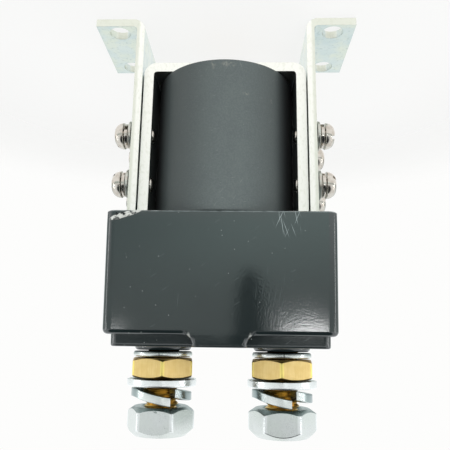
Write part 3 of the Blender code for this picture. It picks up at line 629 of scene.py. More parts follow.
@dataclass(frozen=True)
class DrawnWire(Finish):
    """Drawn spring wire, patented and oiled: dark, with lines along the wire."""

    def dress(self, coat: Surface) -> None:
        """Lay drawing lines and oil."""
        coat.tint(coat.blotches(1.5, 0.5, 0.2, detail=3.0), "#5C5E62", 0.7)
        coat.dull(coat.noise(0.7, 3.0), self.roughness + 0.2, 0.7)
        coat.bump(coat.noise(0.15, 2.0, (3.0, 3.0, 1.0)), 0.004)


@dataclass(frozen=True)
class RolledCopper(Finish):
    """Rolled copper bar or enamelled copper wire.

    Bare copper is pink with brown oxide clouds. The winding's enamel makes it
    redder and glossier, and its turns show as ridges.
    """

    # Distance between the winding's turns in millimetres, or 0 for a bar.
    turn_pitch: float = 0.0

    def dress(self, coat: Surface) -> None:
        """Lay oxide, and the wire's turns where it is a winding."""
        coat.tint(coat.blotches(2.5, 0.5, 0.2, detail=4.0), "#9A5234", 0.6)
        coat.dull(coat.noise(1.5, 3.0), self.roughness + 0.15, 0.7)
        coat.bump(coat.noise(0.25, 2.0, (20.0, 1.0, 1.0)), 0.008)
        if self.turn_pitch:
            height = coat.component(coat.place, Axis.Z)
            phase = height * (math.pi / (self.turn_pitch * MM))
            coat.bump(abs(phase.reckon("SINE")), 0.2)


@dataclass(frozen=True)
class TinPlate(Finish):
    """Stamped brass blade with dull tin plate: pale grey, with fine rolling grain."""

    def dress(self, coat: Surface) -> None:
        """Lay grain and a few fingerprints' worth of haze."""
        coat.tint(coat.blotches(2.0, 0.5, 0.2, detail=3.0), "#B8B8B2", 0.7)
        coat.dull(coat.blotches(1.6, 0.5, 0.2), self.roughness + 0.18, 0.8)
        coat.bump(coat.noise(0.16, 2.0, (1.0, 14.0, 1.0)), 0.008)


@dataclass(frozen=True)
class MouldedNylon(Finish):
    """Natural nylon, injection-moulded: milky, softly glossy, faintly mottled."""

    def dress(self, coat: Surface) -> None:
        """Lay flow marks and fine grain."""
        coat.tint(coat.blotches(3.0, 0.5, 0.25), "#CFC9B4", 0.6)
        coat.dull(coat.noise(1.0, 2.0), self.roughness + 0.12, 0.6)
        coat.bump(coat.noise(0.4, 2.0), 0.01)


@dataclass(frozen=True)
class GlossMoulding(Finish):
    """Glass-filled thermoset pressed in a polished mould.

    A glossy slate black that mirrors the room in its flat faces. Filler shows
    as a slight ripple, and handling leaves dust, hair scratches, wiping marks
    low on one side and a torn pale corner on the rim.
    """

    haze: str = "#1E2929"
    rim: float = 63.7 * MM
    scuff_start: Point = (30.7 * MM, -22.4 * MM, 66.3 * MM)
    scuff_end: Point = (21.5 * MM, -22.4 * MM, 63.6 * MM)

    def dress(self, coat: Surface) -> None:
        """Lay ripple, dust, scratches, wiping marks and the torn corner."""
        coat.tint(coat.blotches(16.0, 0.5, 0.3), self.haze, 0.5)
        coat.dull(coat.noise(5.0, 3.0), self.roughness + 0.04, 0.6)
        coat.bump(coat.noise(1.8, 2.0), 0.006)
        coat.bump(coat.noise(0.5, 2.0), 0.005)
        self._scratch(coat)
        self._dust(coat)
        self._wear(coat)

    def _scratch(self, coat: Surface) -> None:
        """Lay hair scratches everywhere, and denser ones where the photo has them.

        Args:
            coat: Surface to change.
        """
        for spacing, length, share, tilt, shift in (
            (0.6, 5.0, 0.06, 0.12, (0.0, 0.0, 0.0)),
            (0.7, 7.0, 0.04, -0.6, (0.02, 0.0, 0.01)),
            (0.5, 2.5, 0.05, 1.0, (0.01, 0.0, 0.03)),
        ):
            marks = coat.scratches(spacing, 0.08, length, share, tilt, shift)
            coat.tint(marks, "#7D878A", 0.3)
            coat.dull(marks, 0.5, 0.4)
        rim = coat.near((-18.2 * MM, -22.4 * MM, 66.5 * MM), (5.0 * MM, 3.0 * MM, 5.0 * MM))
        for tilt in (-0.3, -0.1, 0.45):
            marks = coat.scratches(0.6, 0.16, 8.0, 0.8, tilt, (0.004, 0.0, 0.02))
            coat.tint(rim * marks, "#A4ADAE", 0.9)
        wiped = coat.near((-12.5 * MM, -22.0 * MM, 86.0 * MM), (8.0 * MM, 3.0 * MM, 10.0 * MM))
        wipes = coat.scratches(0.35, 0.1, 5.0, 0.6, 0.1, (0.008, 0.0, 0.0))
        coat.tint(wiped * wipes, "#7E878A", 0.2)
        orange_peel = coat.near((-17.0 * MM, -22.0 * MM, 88.0 * MM), (14.0 * MM, 3.0 * MM, 12.0 * MM))
        coat.bump(orange_peel * coat.noise(0.55, 3.0), 0.018)

    def _dust(self, coat: Surface) -> None:
        """Lay dust specks of two sizes.

        Args:
            coat: Surface to change.
        """
        small = coat.specks(1.7, 0.13, 0.34)
        large = coat.specks(5.2, 0.2, 0.22, (0.013, 0.004, 0.009))
        for dust in (small, large):
            coat.tint(dust, "#AAB0AE", 0.75)
            coat.dull(dust, 0.8)

    def _wear(self, coat: Surface) -> None:
        """Lay the worn line along the rim, pale marks on the tongue's edges that are partly rubbed wear and
        partly painted highlight, and the torn pale corner.

        Args:
            coat: Surface to change.
        """
        height = coat.component(coat.place, Axis.Z)
        line = coat.ramp(height, self.rim + 0.45 * MM, self.rim + 0.2 * MM)
        coat.tint(line * coat.blotches(2.5, 0.35, 0.2), "#97A0A1", 0.55)
        # Pale marks on the tongue's edges: partly rubbed wear, partly painted highlight.
        for side in Side:
            place = (side.value * 8.0 * MM, -22.0 * MM, 98.0 * MM)
            rubbed = coat.near(place, (0.75 * MM, 1.2 * MM, 2.4 * MM), 0.3)
            wear_and_highlight_flecks = coat.ramp(coat.noise(0.5, 3.0), 0.3, 0.5)
            coat.tint(rubbed * wear_and_highlight_flecks, "#D2D4CE", 0.95)
        start, end = Vector(self.scuff_start), Vector(self.scuff_end)
        run = start - end
        slope = math.atan2(run.z, run.x)
        size = (run.length / 2 + 0.6 * MM, 1.5 * MM, 0.85 * MM)
        torn = coat.near(tuple((start + end) / 2), size, 0.75, (0.0, -slope, 0.0))
        mask = torn * coat.ramp(coat.noise(0.8, 4.0), 0.38, 0.5)
        coat.tint(mask, "#D8DAD4", 0.95)
        coat.dull(mask, 0.75)
        coat.bump(mask, 0.12)


@dataclass(frozen=True)
class MatteMoulding(Finish):
    """Filled polyester moulded around the coil in a blasted mould.

    A dull green-black with a fine even grain that scatters light, scuffed pale
    in a few places and freckled with specks of filler. Its colour is painted
    darker away from the middle and near black on the flanks beside the frame,
    as painted shade.
    """

    # Painted shade: near black on the flanks beside the frame, and darker away from the middle.
    flank: str = "#0E1112"
    side: str = "#333A3A"

    def dress(self, coat: Surface) -> None:
        """Lay grain, clouds, scuffs and specks, and painted shade that darkens the sides and the flanks
        beside the frame.
        """
        across = coat.component(coat.place, Axis.X)
        flank = coat.ramp(abs(across - 0.6 * MM), 15.2 * MM, 19.8 * MM)
        coat.tint(coat.blotches(7.0, 0.5, 0.25, detail=3.0), "#5D6765", 0.5)
        coat.tint(coat.ramp(coat.noise(0.5, 3.0), 0.42, 0.6), "#6A7270", 0.3)
        coat.dull(coat.noise(1.2, 3.0), self.roughness + 0.12, 0.6)
        coat.bump(coat.noise(0.4, 3.0), 0.05)
        for x, y, z, half_x, half_z, strength in (
            (3.1, -21.0, 19.6, 0.9, 1.9, 0.5),
            (-1.4, -21.0, 19.6, 2.8, 1.3, 0.5),
            (-6.7, -20.4, 28.4, 1.5, 0.7, 0.35),
            (-14.0, -16.5, 29.0, 0.6, 1.4, 0.4),
        ):
            place = coat.near((x * MM, y * MM, z * MM), (half_x * MM, 3.0 * MM, half_z * MM), 0.1)
            rubbed = place * coat.ramp(coat.noise(0.7, 4.0), 0.4, 0.62)
            coat.tint(rubbed, "#A7A69B", strength)
        for length, share, tilt in ((2.0, 0.08, 0.6), (4.0, 0.05, -0.35), (1.2, 0.1, 1.4)):
            marks = coat.scratches(0.6, 0.1, length, share, tilt, (0.01 * tilt, 0.0, 0.0))
            coat.tint(marks, "#959D99", 0.5)
        for spacing, radius, share, shift in ((2.3, 0.12, 0.2, 0.002), (0.9, 0.08, 0.12, 0.013)):
            dust = coat.specks(spacing, radius, share, (0.004, 0.011, shift))
            coat.tint(dust, "#A3AAA6", 0.75)
        # Painted shade: darker away from the middle, standing in for the cylinder's shading.
        coat.tint(coat.ramp(abs(across + 2.4 * MM), 2.0 * MM, 17.0 * MM), self.side, 0.8)
        # Painted shade: near black on the flanks in the frame's pocket.
        coat.tint(flank, self.flank, 0.97)
        coat.dull(flank, 1.0)


# Meshes


def arc(centre: Flat, radius: float, start: float, end: float, steps: int) -> list[Flat]:
    """Return points of an arc in that many steps, both its ends included."""
    angles = [start + (end - start) * i / steps for i in range(steps + 1)]
    return [(centre[0] + radius * math.cos(a), centre[1] + radius * math.sin(a)) for a in angles]


def circle(radius: float, sides: int, centre: Flat = (0.0, 0.0)) -> list[Flat]:
    """Return a circle's outline as a polygon of that many sides."""
    return arc(centre, radius, 0.0, math.tau * (sides - 1) / sides, sides - 1)


def rectangle(half_x: float, half_y: float, centre: Flat = (0.0, 0.0)) -> list[Flat]:
    """Return a rectangle's corners from its half sizes."""
    signs = ((-1, -1), (1, -1), (1, 1), (-1, 1))
    return [(centre[0] + u * half_x, centre[1] + v * half_y) for u, v in signs]


def rounded_rectangle(half_x: float, half_y: float, radius: float, steps: int) -> list[Flat]:
    """Return a rectangle's outline with round corners.

    Args:
        half_x: Half its size along X.
        half_y: Half its size along Y.
        radius: Radius of its corners.
        steps: Chords in each corner.

    Returns:
        Its points.
    """
    x, y, quarter = half_x - radius, half_y - radius, math.pi / 2
    centres = [(x, y), (-x, y), (-x, -y), (x, -y)]
    corners = [arc(c, radius, quarter * i, quarter * (i + 1), steps) for i, c in enumerate(centres)]
    return sum(corners, [])


def four_way(quarter: Sequence[Flat]) -> list[Flat]:
    """Mirror a quarter outline, from the Y axis to the X axis, into a closed one."""
    half = list(quarter) + [(x, -y) for x, y in quarter[::-1]]
    return half + [(-x, y) for x, y in half[::-1]]


def loft(sections: Sequence[Sequence[Point]], loop: bool = False) -> BMesh:
    """Join sections with equal point counts.

    Args:
        sections: Outlines in order.
        loop: True where the last section meets the first. Otherwise both ends are capped.

    Returns:
        A closed bmesh.
    """
    bm = bmesh.new()
    rings = [[bm.verts.new(point) for point in section] for section in sections]
    pairs = list(zip(rings, rings[1:]))
    if loop:
        pairs.append((rings[-1], rings[0]))
    for lower, upper in pairs:
        for i in range(len(lower)):
            bm.faces.new((lower[i - 1], lower[i], upper[i], upper[i - 1]))
    if not loop:
        bm.faces.new(rings[0])
        bm.faces.new(rings[-1])
    bmesh.ops.remove_doubles(bm, verts=bm.verts, dist=MERGE)
    return bm


def turned(profile: Sequence[Flat], segments: int, centre: Flat = (0.0, 0.0)) -> BMesh:
    """Turn a profile about an upright axis.

    Args:
        profile: Radii and heights. It is solid where its ends have no radius, else a ring.
        segments: Facets around.
        centre: Place of the axis.

    Returns:
        A closed bmesh.
    """
    sections = [
        [(centre[0] + x, centre[1] + y, z) for x, y in circle(max(radius, MERGE / 20), segments)]
        for radius, z in profile
    ]
    return loft(sections, loop=profile[0][0] > 0)


def object_from(name: str, bm: BMesh) -> Object:
    """Turn a bmesh into an object at the origin, its faces pointing outwards.

    Args:
        name: Name of the object and its mesh.
        bm: Closed bmesh, which is freed.

    Returns:
        The object.
    """
    bmesh.ops.recalc_face_normals(bm, faces=bm.faces)
    mesh = bpy.data.meshes.new(name)
    bm.to_mesh(mesh)
    bm.free()
    item = bpy.data.objects.new(name, mesh)
    bpy.context.scene.collection.objects.link(item)
    return item


def draw_along(name: str, outline: Sequence[Flat], axis: Axis, start: float, end: float) -> Object:
    """Draw an outline straight along an axis.

    Args:
        name: Name of the object.
        outline: Points on the two other axes, in the order X, Y, Z.
        axis: Axis to draw along.
        start: Where it begins.
        end: Where it ends.

    Returns:
        A closed object.
    """
    place = axis.value
    ends = [[(*point[:place], at, *point[place:]) for point in outline] for at in (start, end)]
    return object_from(name, loft(ends))


def apply_modifiers(item: Object) -> None:
    """Turn an object and its modifiers into a plain mesh.

    Args:
        item: Object to change.
    """
    bpy.context.view_layer.update()
    depsgraph = bpy.context.evaluated_depsgraph_get()
    result = bpy.data.meshes.new_from_object(item.evaluated_get(depsgraph), depsgraph=depsgraph)
    result.name = item.name
    item.modifiers.clear()
    item.data = result


def combine(item: Object, tools: Iterable[Object], operation: str = "DIFFERENCE") -> None:
    """Cut tools out of an object, or add them to it.

    Args:
        item: Object to change.
        tools: Closed shapes, which are removed afterwards.
        operation: DIFFERENCE or UNION.
    """
    tools = list(tools)
    for tool in tools:
        modifier = item.modifiers.new(tool.name, "BOOLEAN")
        modifier.operation = operation
        modifier.solver = "EXACT"
        modifier.object = tool
    apply_modifiers(item)
    for tool in tools:
        bpy.data.objects.remove(tool)


def shade(item: Object, edge: float = 0.0, steps: int = 3, sharp: float = 35.0) -> None:
    """Round an object's edges and shade it, with flat faces kept flat.

    Args:
        item: Object to change.
        edge: Width of the rounding, or 0 for none.
        steps: Facets across the rounding.
        sharp: Angle in degrees from which an edge counts as one.
    """
    if edge:
        bevel = item.modifiers.new("edge", "BEVEL")
        bevel.width = edge
        bevel.segments = steps
        bevel.limit_method = "ANGLE"
        bevel.angle_limit = math.radians(sharp)
        bevel.use_clamp_overlap = True
        apply_modifiers(item)
    item.data.shade_smooth()
    item.data.set_sharp_from_angle(angle=math.radians(sharp))
    weighted = item.modifiers.new("weighted", "WEIGHTED_NORMAL")
    weighted.keep_sharp = True
    apply_modifiers(item)


def merge_copy(name: str, node: str) -> Object:
    """Return a copy of a CAD node with its triangles joined into whole faces.

    Args:
        name: Name of the copy.
        node: Name of the CAD node, which isn't changed.

    Returns:
        The copy.
    """
    bm = bmesh.new()
    bm.from_mesh(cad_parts[node].data)
    bmesh.ops.remove_doubles(bm, verts=bm.verts, dist=MERGE * 5)
    bmesh.ops.dissolve_limit(bm, angle_limit=math.radians(0.5), verts=bm.verts, edges=bm.edges)
    return object_from(name, bm)


def install(item: Object, finish: str, *nodes: str, body: Body = Body.CONTACTOR) -> None:
    """Finish a piece and fix it to its body.

    Args:
        item: The piece.
        finish: Name of its finish.
        nodes: CAD nodes that it stands for.
        body: Body that it rides on.
    """
    item.data.materials.clear()
    item.data.materials.append(PAINT_SHOP.get(finish))
    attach(item, body.value)
    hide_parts(*nodes)
    logger.info("%s: %d faces, %s on %s", item.name, len(item.data.polygons), finish, body.value)


class PaintShop:
    """Materials made so far, so that each finish is made once."""

    def __init__(self) -> None:
        """Start with no material."""
        self.made: dict[str, Material] = {}

    def get(self, finish: str) -> Material:
        """Return a finish's material, and make it the first time."""
        if finish not in self.made:
            self.made[finish] = FINISHES[finish].material()
        return self.made[finish]

    def dress_node(self, finish: str, node: str) -> None:
        """Give a finish to a CAD node whose shape stays as it is."""
        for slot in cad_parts[node].material_slots:
            slot.material = self.get(finish)
        logger.info("%s: CAD shape kept, %s", node, finish)


PAINT_SHOP = PaintShop()


# Geometry Nodes


@dataclass
class Graph:
    """A Geometry Nodes tree that is built, run once and turned into a plain mesh.

    Attributes:
        name: Name of the tree and of what it makes.
        sizes: Its named inputs, with a number, an object or a material each.
    """

    name: str
    sizes: dict[str, object]
    tree: NodeTree = field(init=False)
    source: Node = field(init=False)

    KINDS = {float: "NodeSocketFloat", Object: "NodeSocketObject", Material: "NodeSocketMaterial"}

    def __post_init__(self) -> None:
        """Make the empty tree with its inputs."""
        self.tree = bpy.data.node_groups.new(self.name, "GeometryNodeTree")
        panel = self.tree.interface
        panel.new_socket("Geometry", in_out="INPUT", socket_type="NodeSocketGeometry")
        for label, value in self.sizes.items():
            panel.new_socket(label, in_out="INPUT", socket_type=self.KINDS[type(value)])
        panel.new_socket("Geometry", in_out="OUTPUT", socket_type="NodeSocketGeometry")
        self.source = add_node(self.tree, "NodeGroupInput")

    def size(self, label: str) -> Value:
        """Return a named input."""
        return Value(self.tree, self.source.outputs[label])

    def add(self, kind: str, values: Optional[dict] = None, output: "int | str" = 0) -> Value:
        """Add a node and return one of its outputs."""
        return work_out(self.tree, kind, values or {}, output)

    def position(self) -> list[Value]:
        """Read a point's X, Y and Z.

        Returns:
            A value for each.
        """
        place = self.add("GeometryNodeInputPosition")
        split = add_node(self.tree, "ShaderNodeSeparateXYZ", {0: place})
        return [Value(self.tree, socket) for socket in split.outputs]

    def run(self, geometry: Value, base: Optional[Mesh] = None) -> Object:
        """Realise the instances, set the material and return the result.

        Args:
            geometry: What the tree has made.
            base: Mesh that the tree works on, if it needs one.

        Returns:
            An object at the origin with a plain mesh.
        """
        real = self.add("GeometryNodeRealizeInstances", {0: geometry})
        dressed = self.add("GeometryNodeSetMaterial", {"Geometry": real, "Material": self.size("Material")})
        add_node(self.tree, "NodeGroupOutput", {0: dressed})
        item = bpy.data.objects.new(self.name, base or bpy.data.meshes.new(self.name))
        bpy.context.scene.collection.objects.link(item)
        modifier = item.modifiers.new(self.name, "NODES")
        modifier.node_group = self.tree
        for socket in self.tree.interface.items_tree:
            if socket.item_type == "SOCKET" and socket.in_out == "INPUT" and socket.name in self.sizes:
                modifier[socket.identifier] = self.sizes[socket.name]
        apply_modifiers(item)
        return item


def grow_thread(
    name: str, radius: float, depth: float, pitch: float, bottom: float, top: float, finish: str
) -> Object:
    """Grow a right-hand threaded rod whose rows of vertices follow the thread.

    Args:
        name: Name of the rod.
        radius: Radius over the crests.
        depth: Depth of the thread.
        pitch: Rise in one turn.
        bottom: Lower end.
        top: Upper end, with a chamfer.
        finish: Name of the rod's finish.

    Returns:
        A closed rod about the Z axis.
    """
    rows_per_turn, around, lead_turns = 8, 56, 2
    rows = math.ceil((top - bottom + 2 * lead_turns * pitch) / pitch) * rows_per_turn
    sizes = {"Radius": radius, "Depth": depth, "Pitch": pitch, "Bottom": bottom, "Top": top}
    sizes |= {"Chamfer": 0.9 * MM, "Material": PAINT_SHOP.get(finish)}
    graph = Graph(name, sizes)
    crest_radius, thread, rise, low, high, chamfer = (graph.size(label) for label in list(sizes)[:6])
    settings = {"Size X": 1.0, "Size Y": 1.0, "Vertices X": around + 1, "Vertices Y": rows + 1}
    grid = graph.add("GeometryNodeMeshGrid", settings, "Mesh")
    x, y, _ = graph.position()
    turn = x + 0.5
    row = (y + 0.5) * (rows / rows_per_turn)
    height = (row + turn - (lead_turns + 1.0)) * rise + low
    crest = 1.0 - abs(row.reckon("FRACT") - 0.5) * 2.0
    # The flanks slope between these shares of the way from root to crest, and the rest is flat.
    shape = graph.add("ShaderNodeMapRange", {"Value": crest, 1: 0.12, 2: 0.88, 3: 0.0, 4: 1.0})
    limit = shape * thread + (crest_radius - thread)
    for past in (height - high, low - height):
        bevel = crest_radius - (past + chamfer)
        cap = (crest_radius - chamfer) * (1.0 - past / rise)
        limit = limit.reckon("MINIMUM", bevel.reckon("MINIMUM", cap))
    limit = limit.reckon("MAXIMUM", 0.0)
    angle = turn * math.tau
    level = height.reckon("MAXIMUM", low).reckon("MINIMUM", high)
    place = {0: limit * angle.reckon("COSINE"), 1: limit * angle.reckon("SINE"), 2: level}
    values = {"Geometry": grid, "Position": graph.add("ShaderNodeCombineXYZ", place)}
    bent = graph.add("GeometryNodeSetPosition", values)
    return graph.run(graph.add("GeometryNodeMergeByDistance", {"Geometry": bent, "Distance": MERGE}))


def grow_spring(
    name: str, radius: float, wire: float, turns: int, bottom: float, length: float, finish: str
) -> Object:
    """Wind a compression spring with closed ends.

    Args:
        name: Name of the spring.
        radius: Radius of the helix.
        wire: Radius of the wire.
        turns: Number of turns.
        bottom: Height of its lower end.
        length: Its length.
        finish: Name of the wire's finish.

    Returns:
        A closed spring about the Z axis.
    """
    steps_per_turn, closed_turns, wire_sides = 40, 0.6, 10
    sizes = {"Radius": radius, "Wire": wire, "Turns": float(turns), "Bottom": bottom, "Length": length}
    graph = Graph(name, {**sizes, "Material": PAINT_SHOP.get(finish)})
    helix, thickness, rounds, low, full = (graph.size(label) for label in sizes)
    count = turns * steps_per_turn
    line = graph.add("GeometryNodeMeshLine", {"Count": count + 1, "Offset": (1.0, 0.0, 0.0)})
    curve = graph.add("GeometryNodeMeshToCurve", {"Mesh": line})
    share = graph.position()[0] / float(count)
    angle = share * (rounds * math.tau)
    dead = closed_turns / turns
    risen = graph.add("ShaderNodeMapRange", {"Value": share, 1: dead, 2: 1 - dead, 3: 0.0, 4: 1.0})
    height = risen * (full - thickness * 2.0) + (low + thickness)
    place = {0: helix * angle.reckon("COSINE"), 1: helix * angle.reckon("SINE"), 2: height}
    values = {"Geometry": curve, "Position": graph.add("ShaderNodeCombineXYZ", place)}
    wound = graph.add("GeometryNodeSetPosition", values)
    section = graph.add("GeometryNodeCurvePrimitiveCircle", {"Resolution": wire_sides, "Radius": thickness})
    tube = {"Fill Caps": True, "Curve": wound, "Profile Curve": section}
    return graph.run(graph.add("GeometryNodeCurveToMesh", tube))


# Sub-assemblies


@dataclass
class YokeFrame:
    """Folded steel strip around the coil, with tenons staked into the top plate."""

    inner: float = 21.7 * MM
    thickness: float = 3.0 * MM
    width: float = 27.0 * MM
    base: float = 14.5 * MM
    bend: float = 1.0 * MM
    shoulder: float = 63.4 * MM
    tenon_top: float = 66.4 * MM
    tenon_width: float = 14.0 * MM
    tube_hole: float = 9.6 * MM
    edge: float = 0.05 * MM
    bend_steps: int = 12

    def build(self) -> None:
        """Fold, notch and drill the strip, and dress the plate that it is staked to."""
        half, outer = self.width / 2, self.inner + self.thickness
        item = draw_along("yoke_strip", self._profile(), Axis.Y, -half, half)
        tools = FASTENERS.drill(-outer - OVERCUT, outer + OVERCUT)
        tools += [self._notch(end) for end in (-1, 1)]
        low, high = self.base - OVERCUT, self.base + 2 * self.thickness
        tools.append(draw_along("tube_hole", circle(self.tube_hole, 64), Axis.Z, low, high))
        combine(item, tools)
        shade(item, self.edge)
        install(item, "strip", "yoke_frame")
        plate = merge_copy("pole_plate", "top_plate")
        shade(plate, self.edge)
        install(plate, "plate", "top_plate")

    def _profile(self) -> list[Flat]:
        """Draw the folded strip's outline in X and Z.

        Returns:
            Its points.
        """
        outer, radius, quarter = self.inner + self.thickness, self.bend + self.thickness, math.pi / 2
        x, z, steps = outer - radius, self.base + radius, self.bend_steps
        return (
            [(outer, self.tenon_top)]
            + arc((x, z), radius, 0, -quarter, steps)
            + arc((-x, z), radius, -quarter, -2 * quarter, steps)
            + [(-outer, self.tenon_top), (-self.inner, self.tenon_top)]
            + arc((-x, z), self.bend, -2 * quarter, -quarter, steps)
            + arc((x, z), self.bend, -quarter, 0, steps)
            + [(self.inner, self.tenon_top)]
        )

    def _notch(self, end: int) -> Object:
        """Return the cutter that leaves the tenons at one end.

        Args:
            end: -1 for the front, 1 for the rear.

        Returns:
            A closed cutter.
        """
        reach = self.inner + self.thickness + OVERCUT
        low, high = sorted((end * self.tenon_width / 2, end * (self.width / 2 + OVERCUT)))
        outline = rectangle(
            (high - low) / 2,
            (self.tenon_top - self.shoulder) / 2 + OVERCUT / 2,
            ((high + low) / 2, (self.tenon_top + self.shoulder) / 2 + OVERCUT / 2),
        )
        return draw_along("notch", outline, Axis.X, -reach, reach)


@dataclass
class MountingBracket:
    """Folded strip on one side of the yoke, with a tab that has two holes."""

    side: Side
    inner: float = 25.0 * MM
    thickness: float = 2.5 * MM
    width: float = 29.0 * MM
    top: float = 63.4 * MM
    bend: float = 1.2 * MM
    tab_reach: float = 12.9 * MM
    hole_offset: float = 6.2 * MM
    hole_spacing: float = 21.0 * MM
    hole_radius: float = 3.25 * MM
    edge: float = 0.05 * MM
    bend_steps: int = 14

    def build(self) -> None:
        """Fold and drill the bracket."""
        half, sign = self.width / 2, self.side.value
        item = draw_along(f"bracket_strip_{self.side.word}", self._profile(), Axis.Y, -half, half)
        outer = self.inner + self.thickness
        reach = sorted((sign * (self.inner - OVERCUT), sign * (outer + OVERCUT)))
        tools = FASTENERS.drill(*reach)
        for end in (-1, 1):
            centre = (sign * (outer + self.hole_offset), end * self.hole_spacing / 2)
            hole = circle(self.hole_radius, 64, centre)
            tools.append(draw_along("tab_hole", hole, Axis.Z, -OVERCUT, self.thickness + OVERCUT))
        combine(item, tools)
        shade(item, self.edge)
        install(item, "strip", f"mounting_bracket_{self.side.word}")

    def _profile(self) -> list[Flat]:
        """Draw the folded strip's outline in X and Z.

        Returns:
            Its points.
        """
        outer, radius, quarter = self.inner + self.thickness, self.bend + self.thickness, math.pi / 2
        centre, tip, steps = (self.inner + radius, radius), outer + self.tab_reach, self.bend_steps
        points = (
            [(self.inner, self.top)]
            + arc(centre, radius, 2 * quarter, 3 * quarter, steps)
            + [(tip, 0.0), (tip, self.thickness)]
            + arc(centre, self.bend, 3 * quarter, 2 * quarter, steps)
            + [(outer, self.top)]
        )
        return [(self.side.value * x, z) for x, z in points]


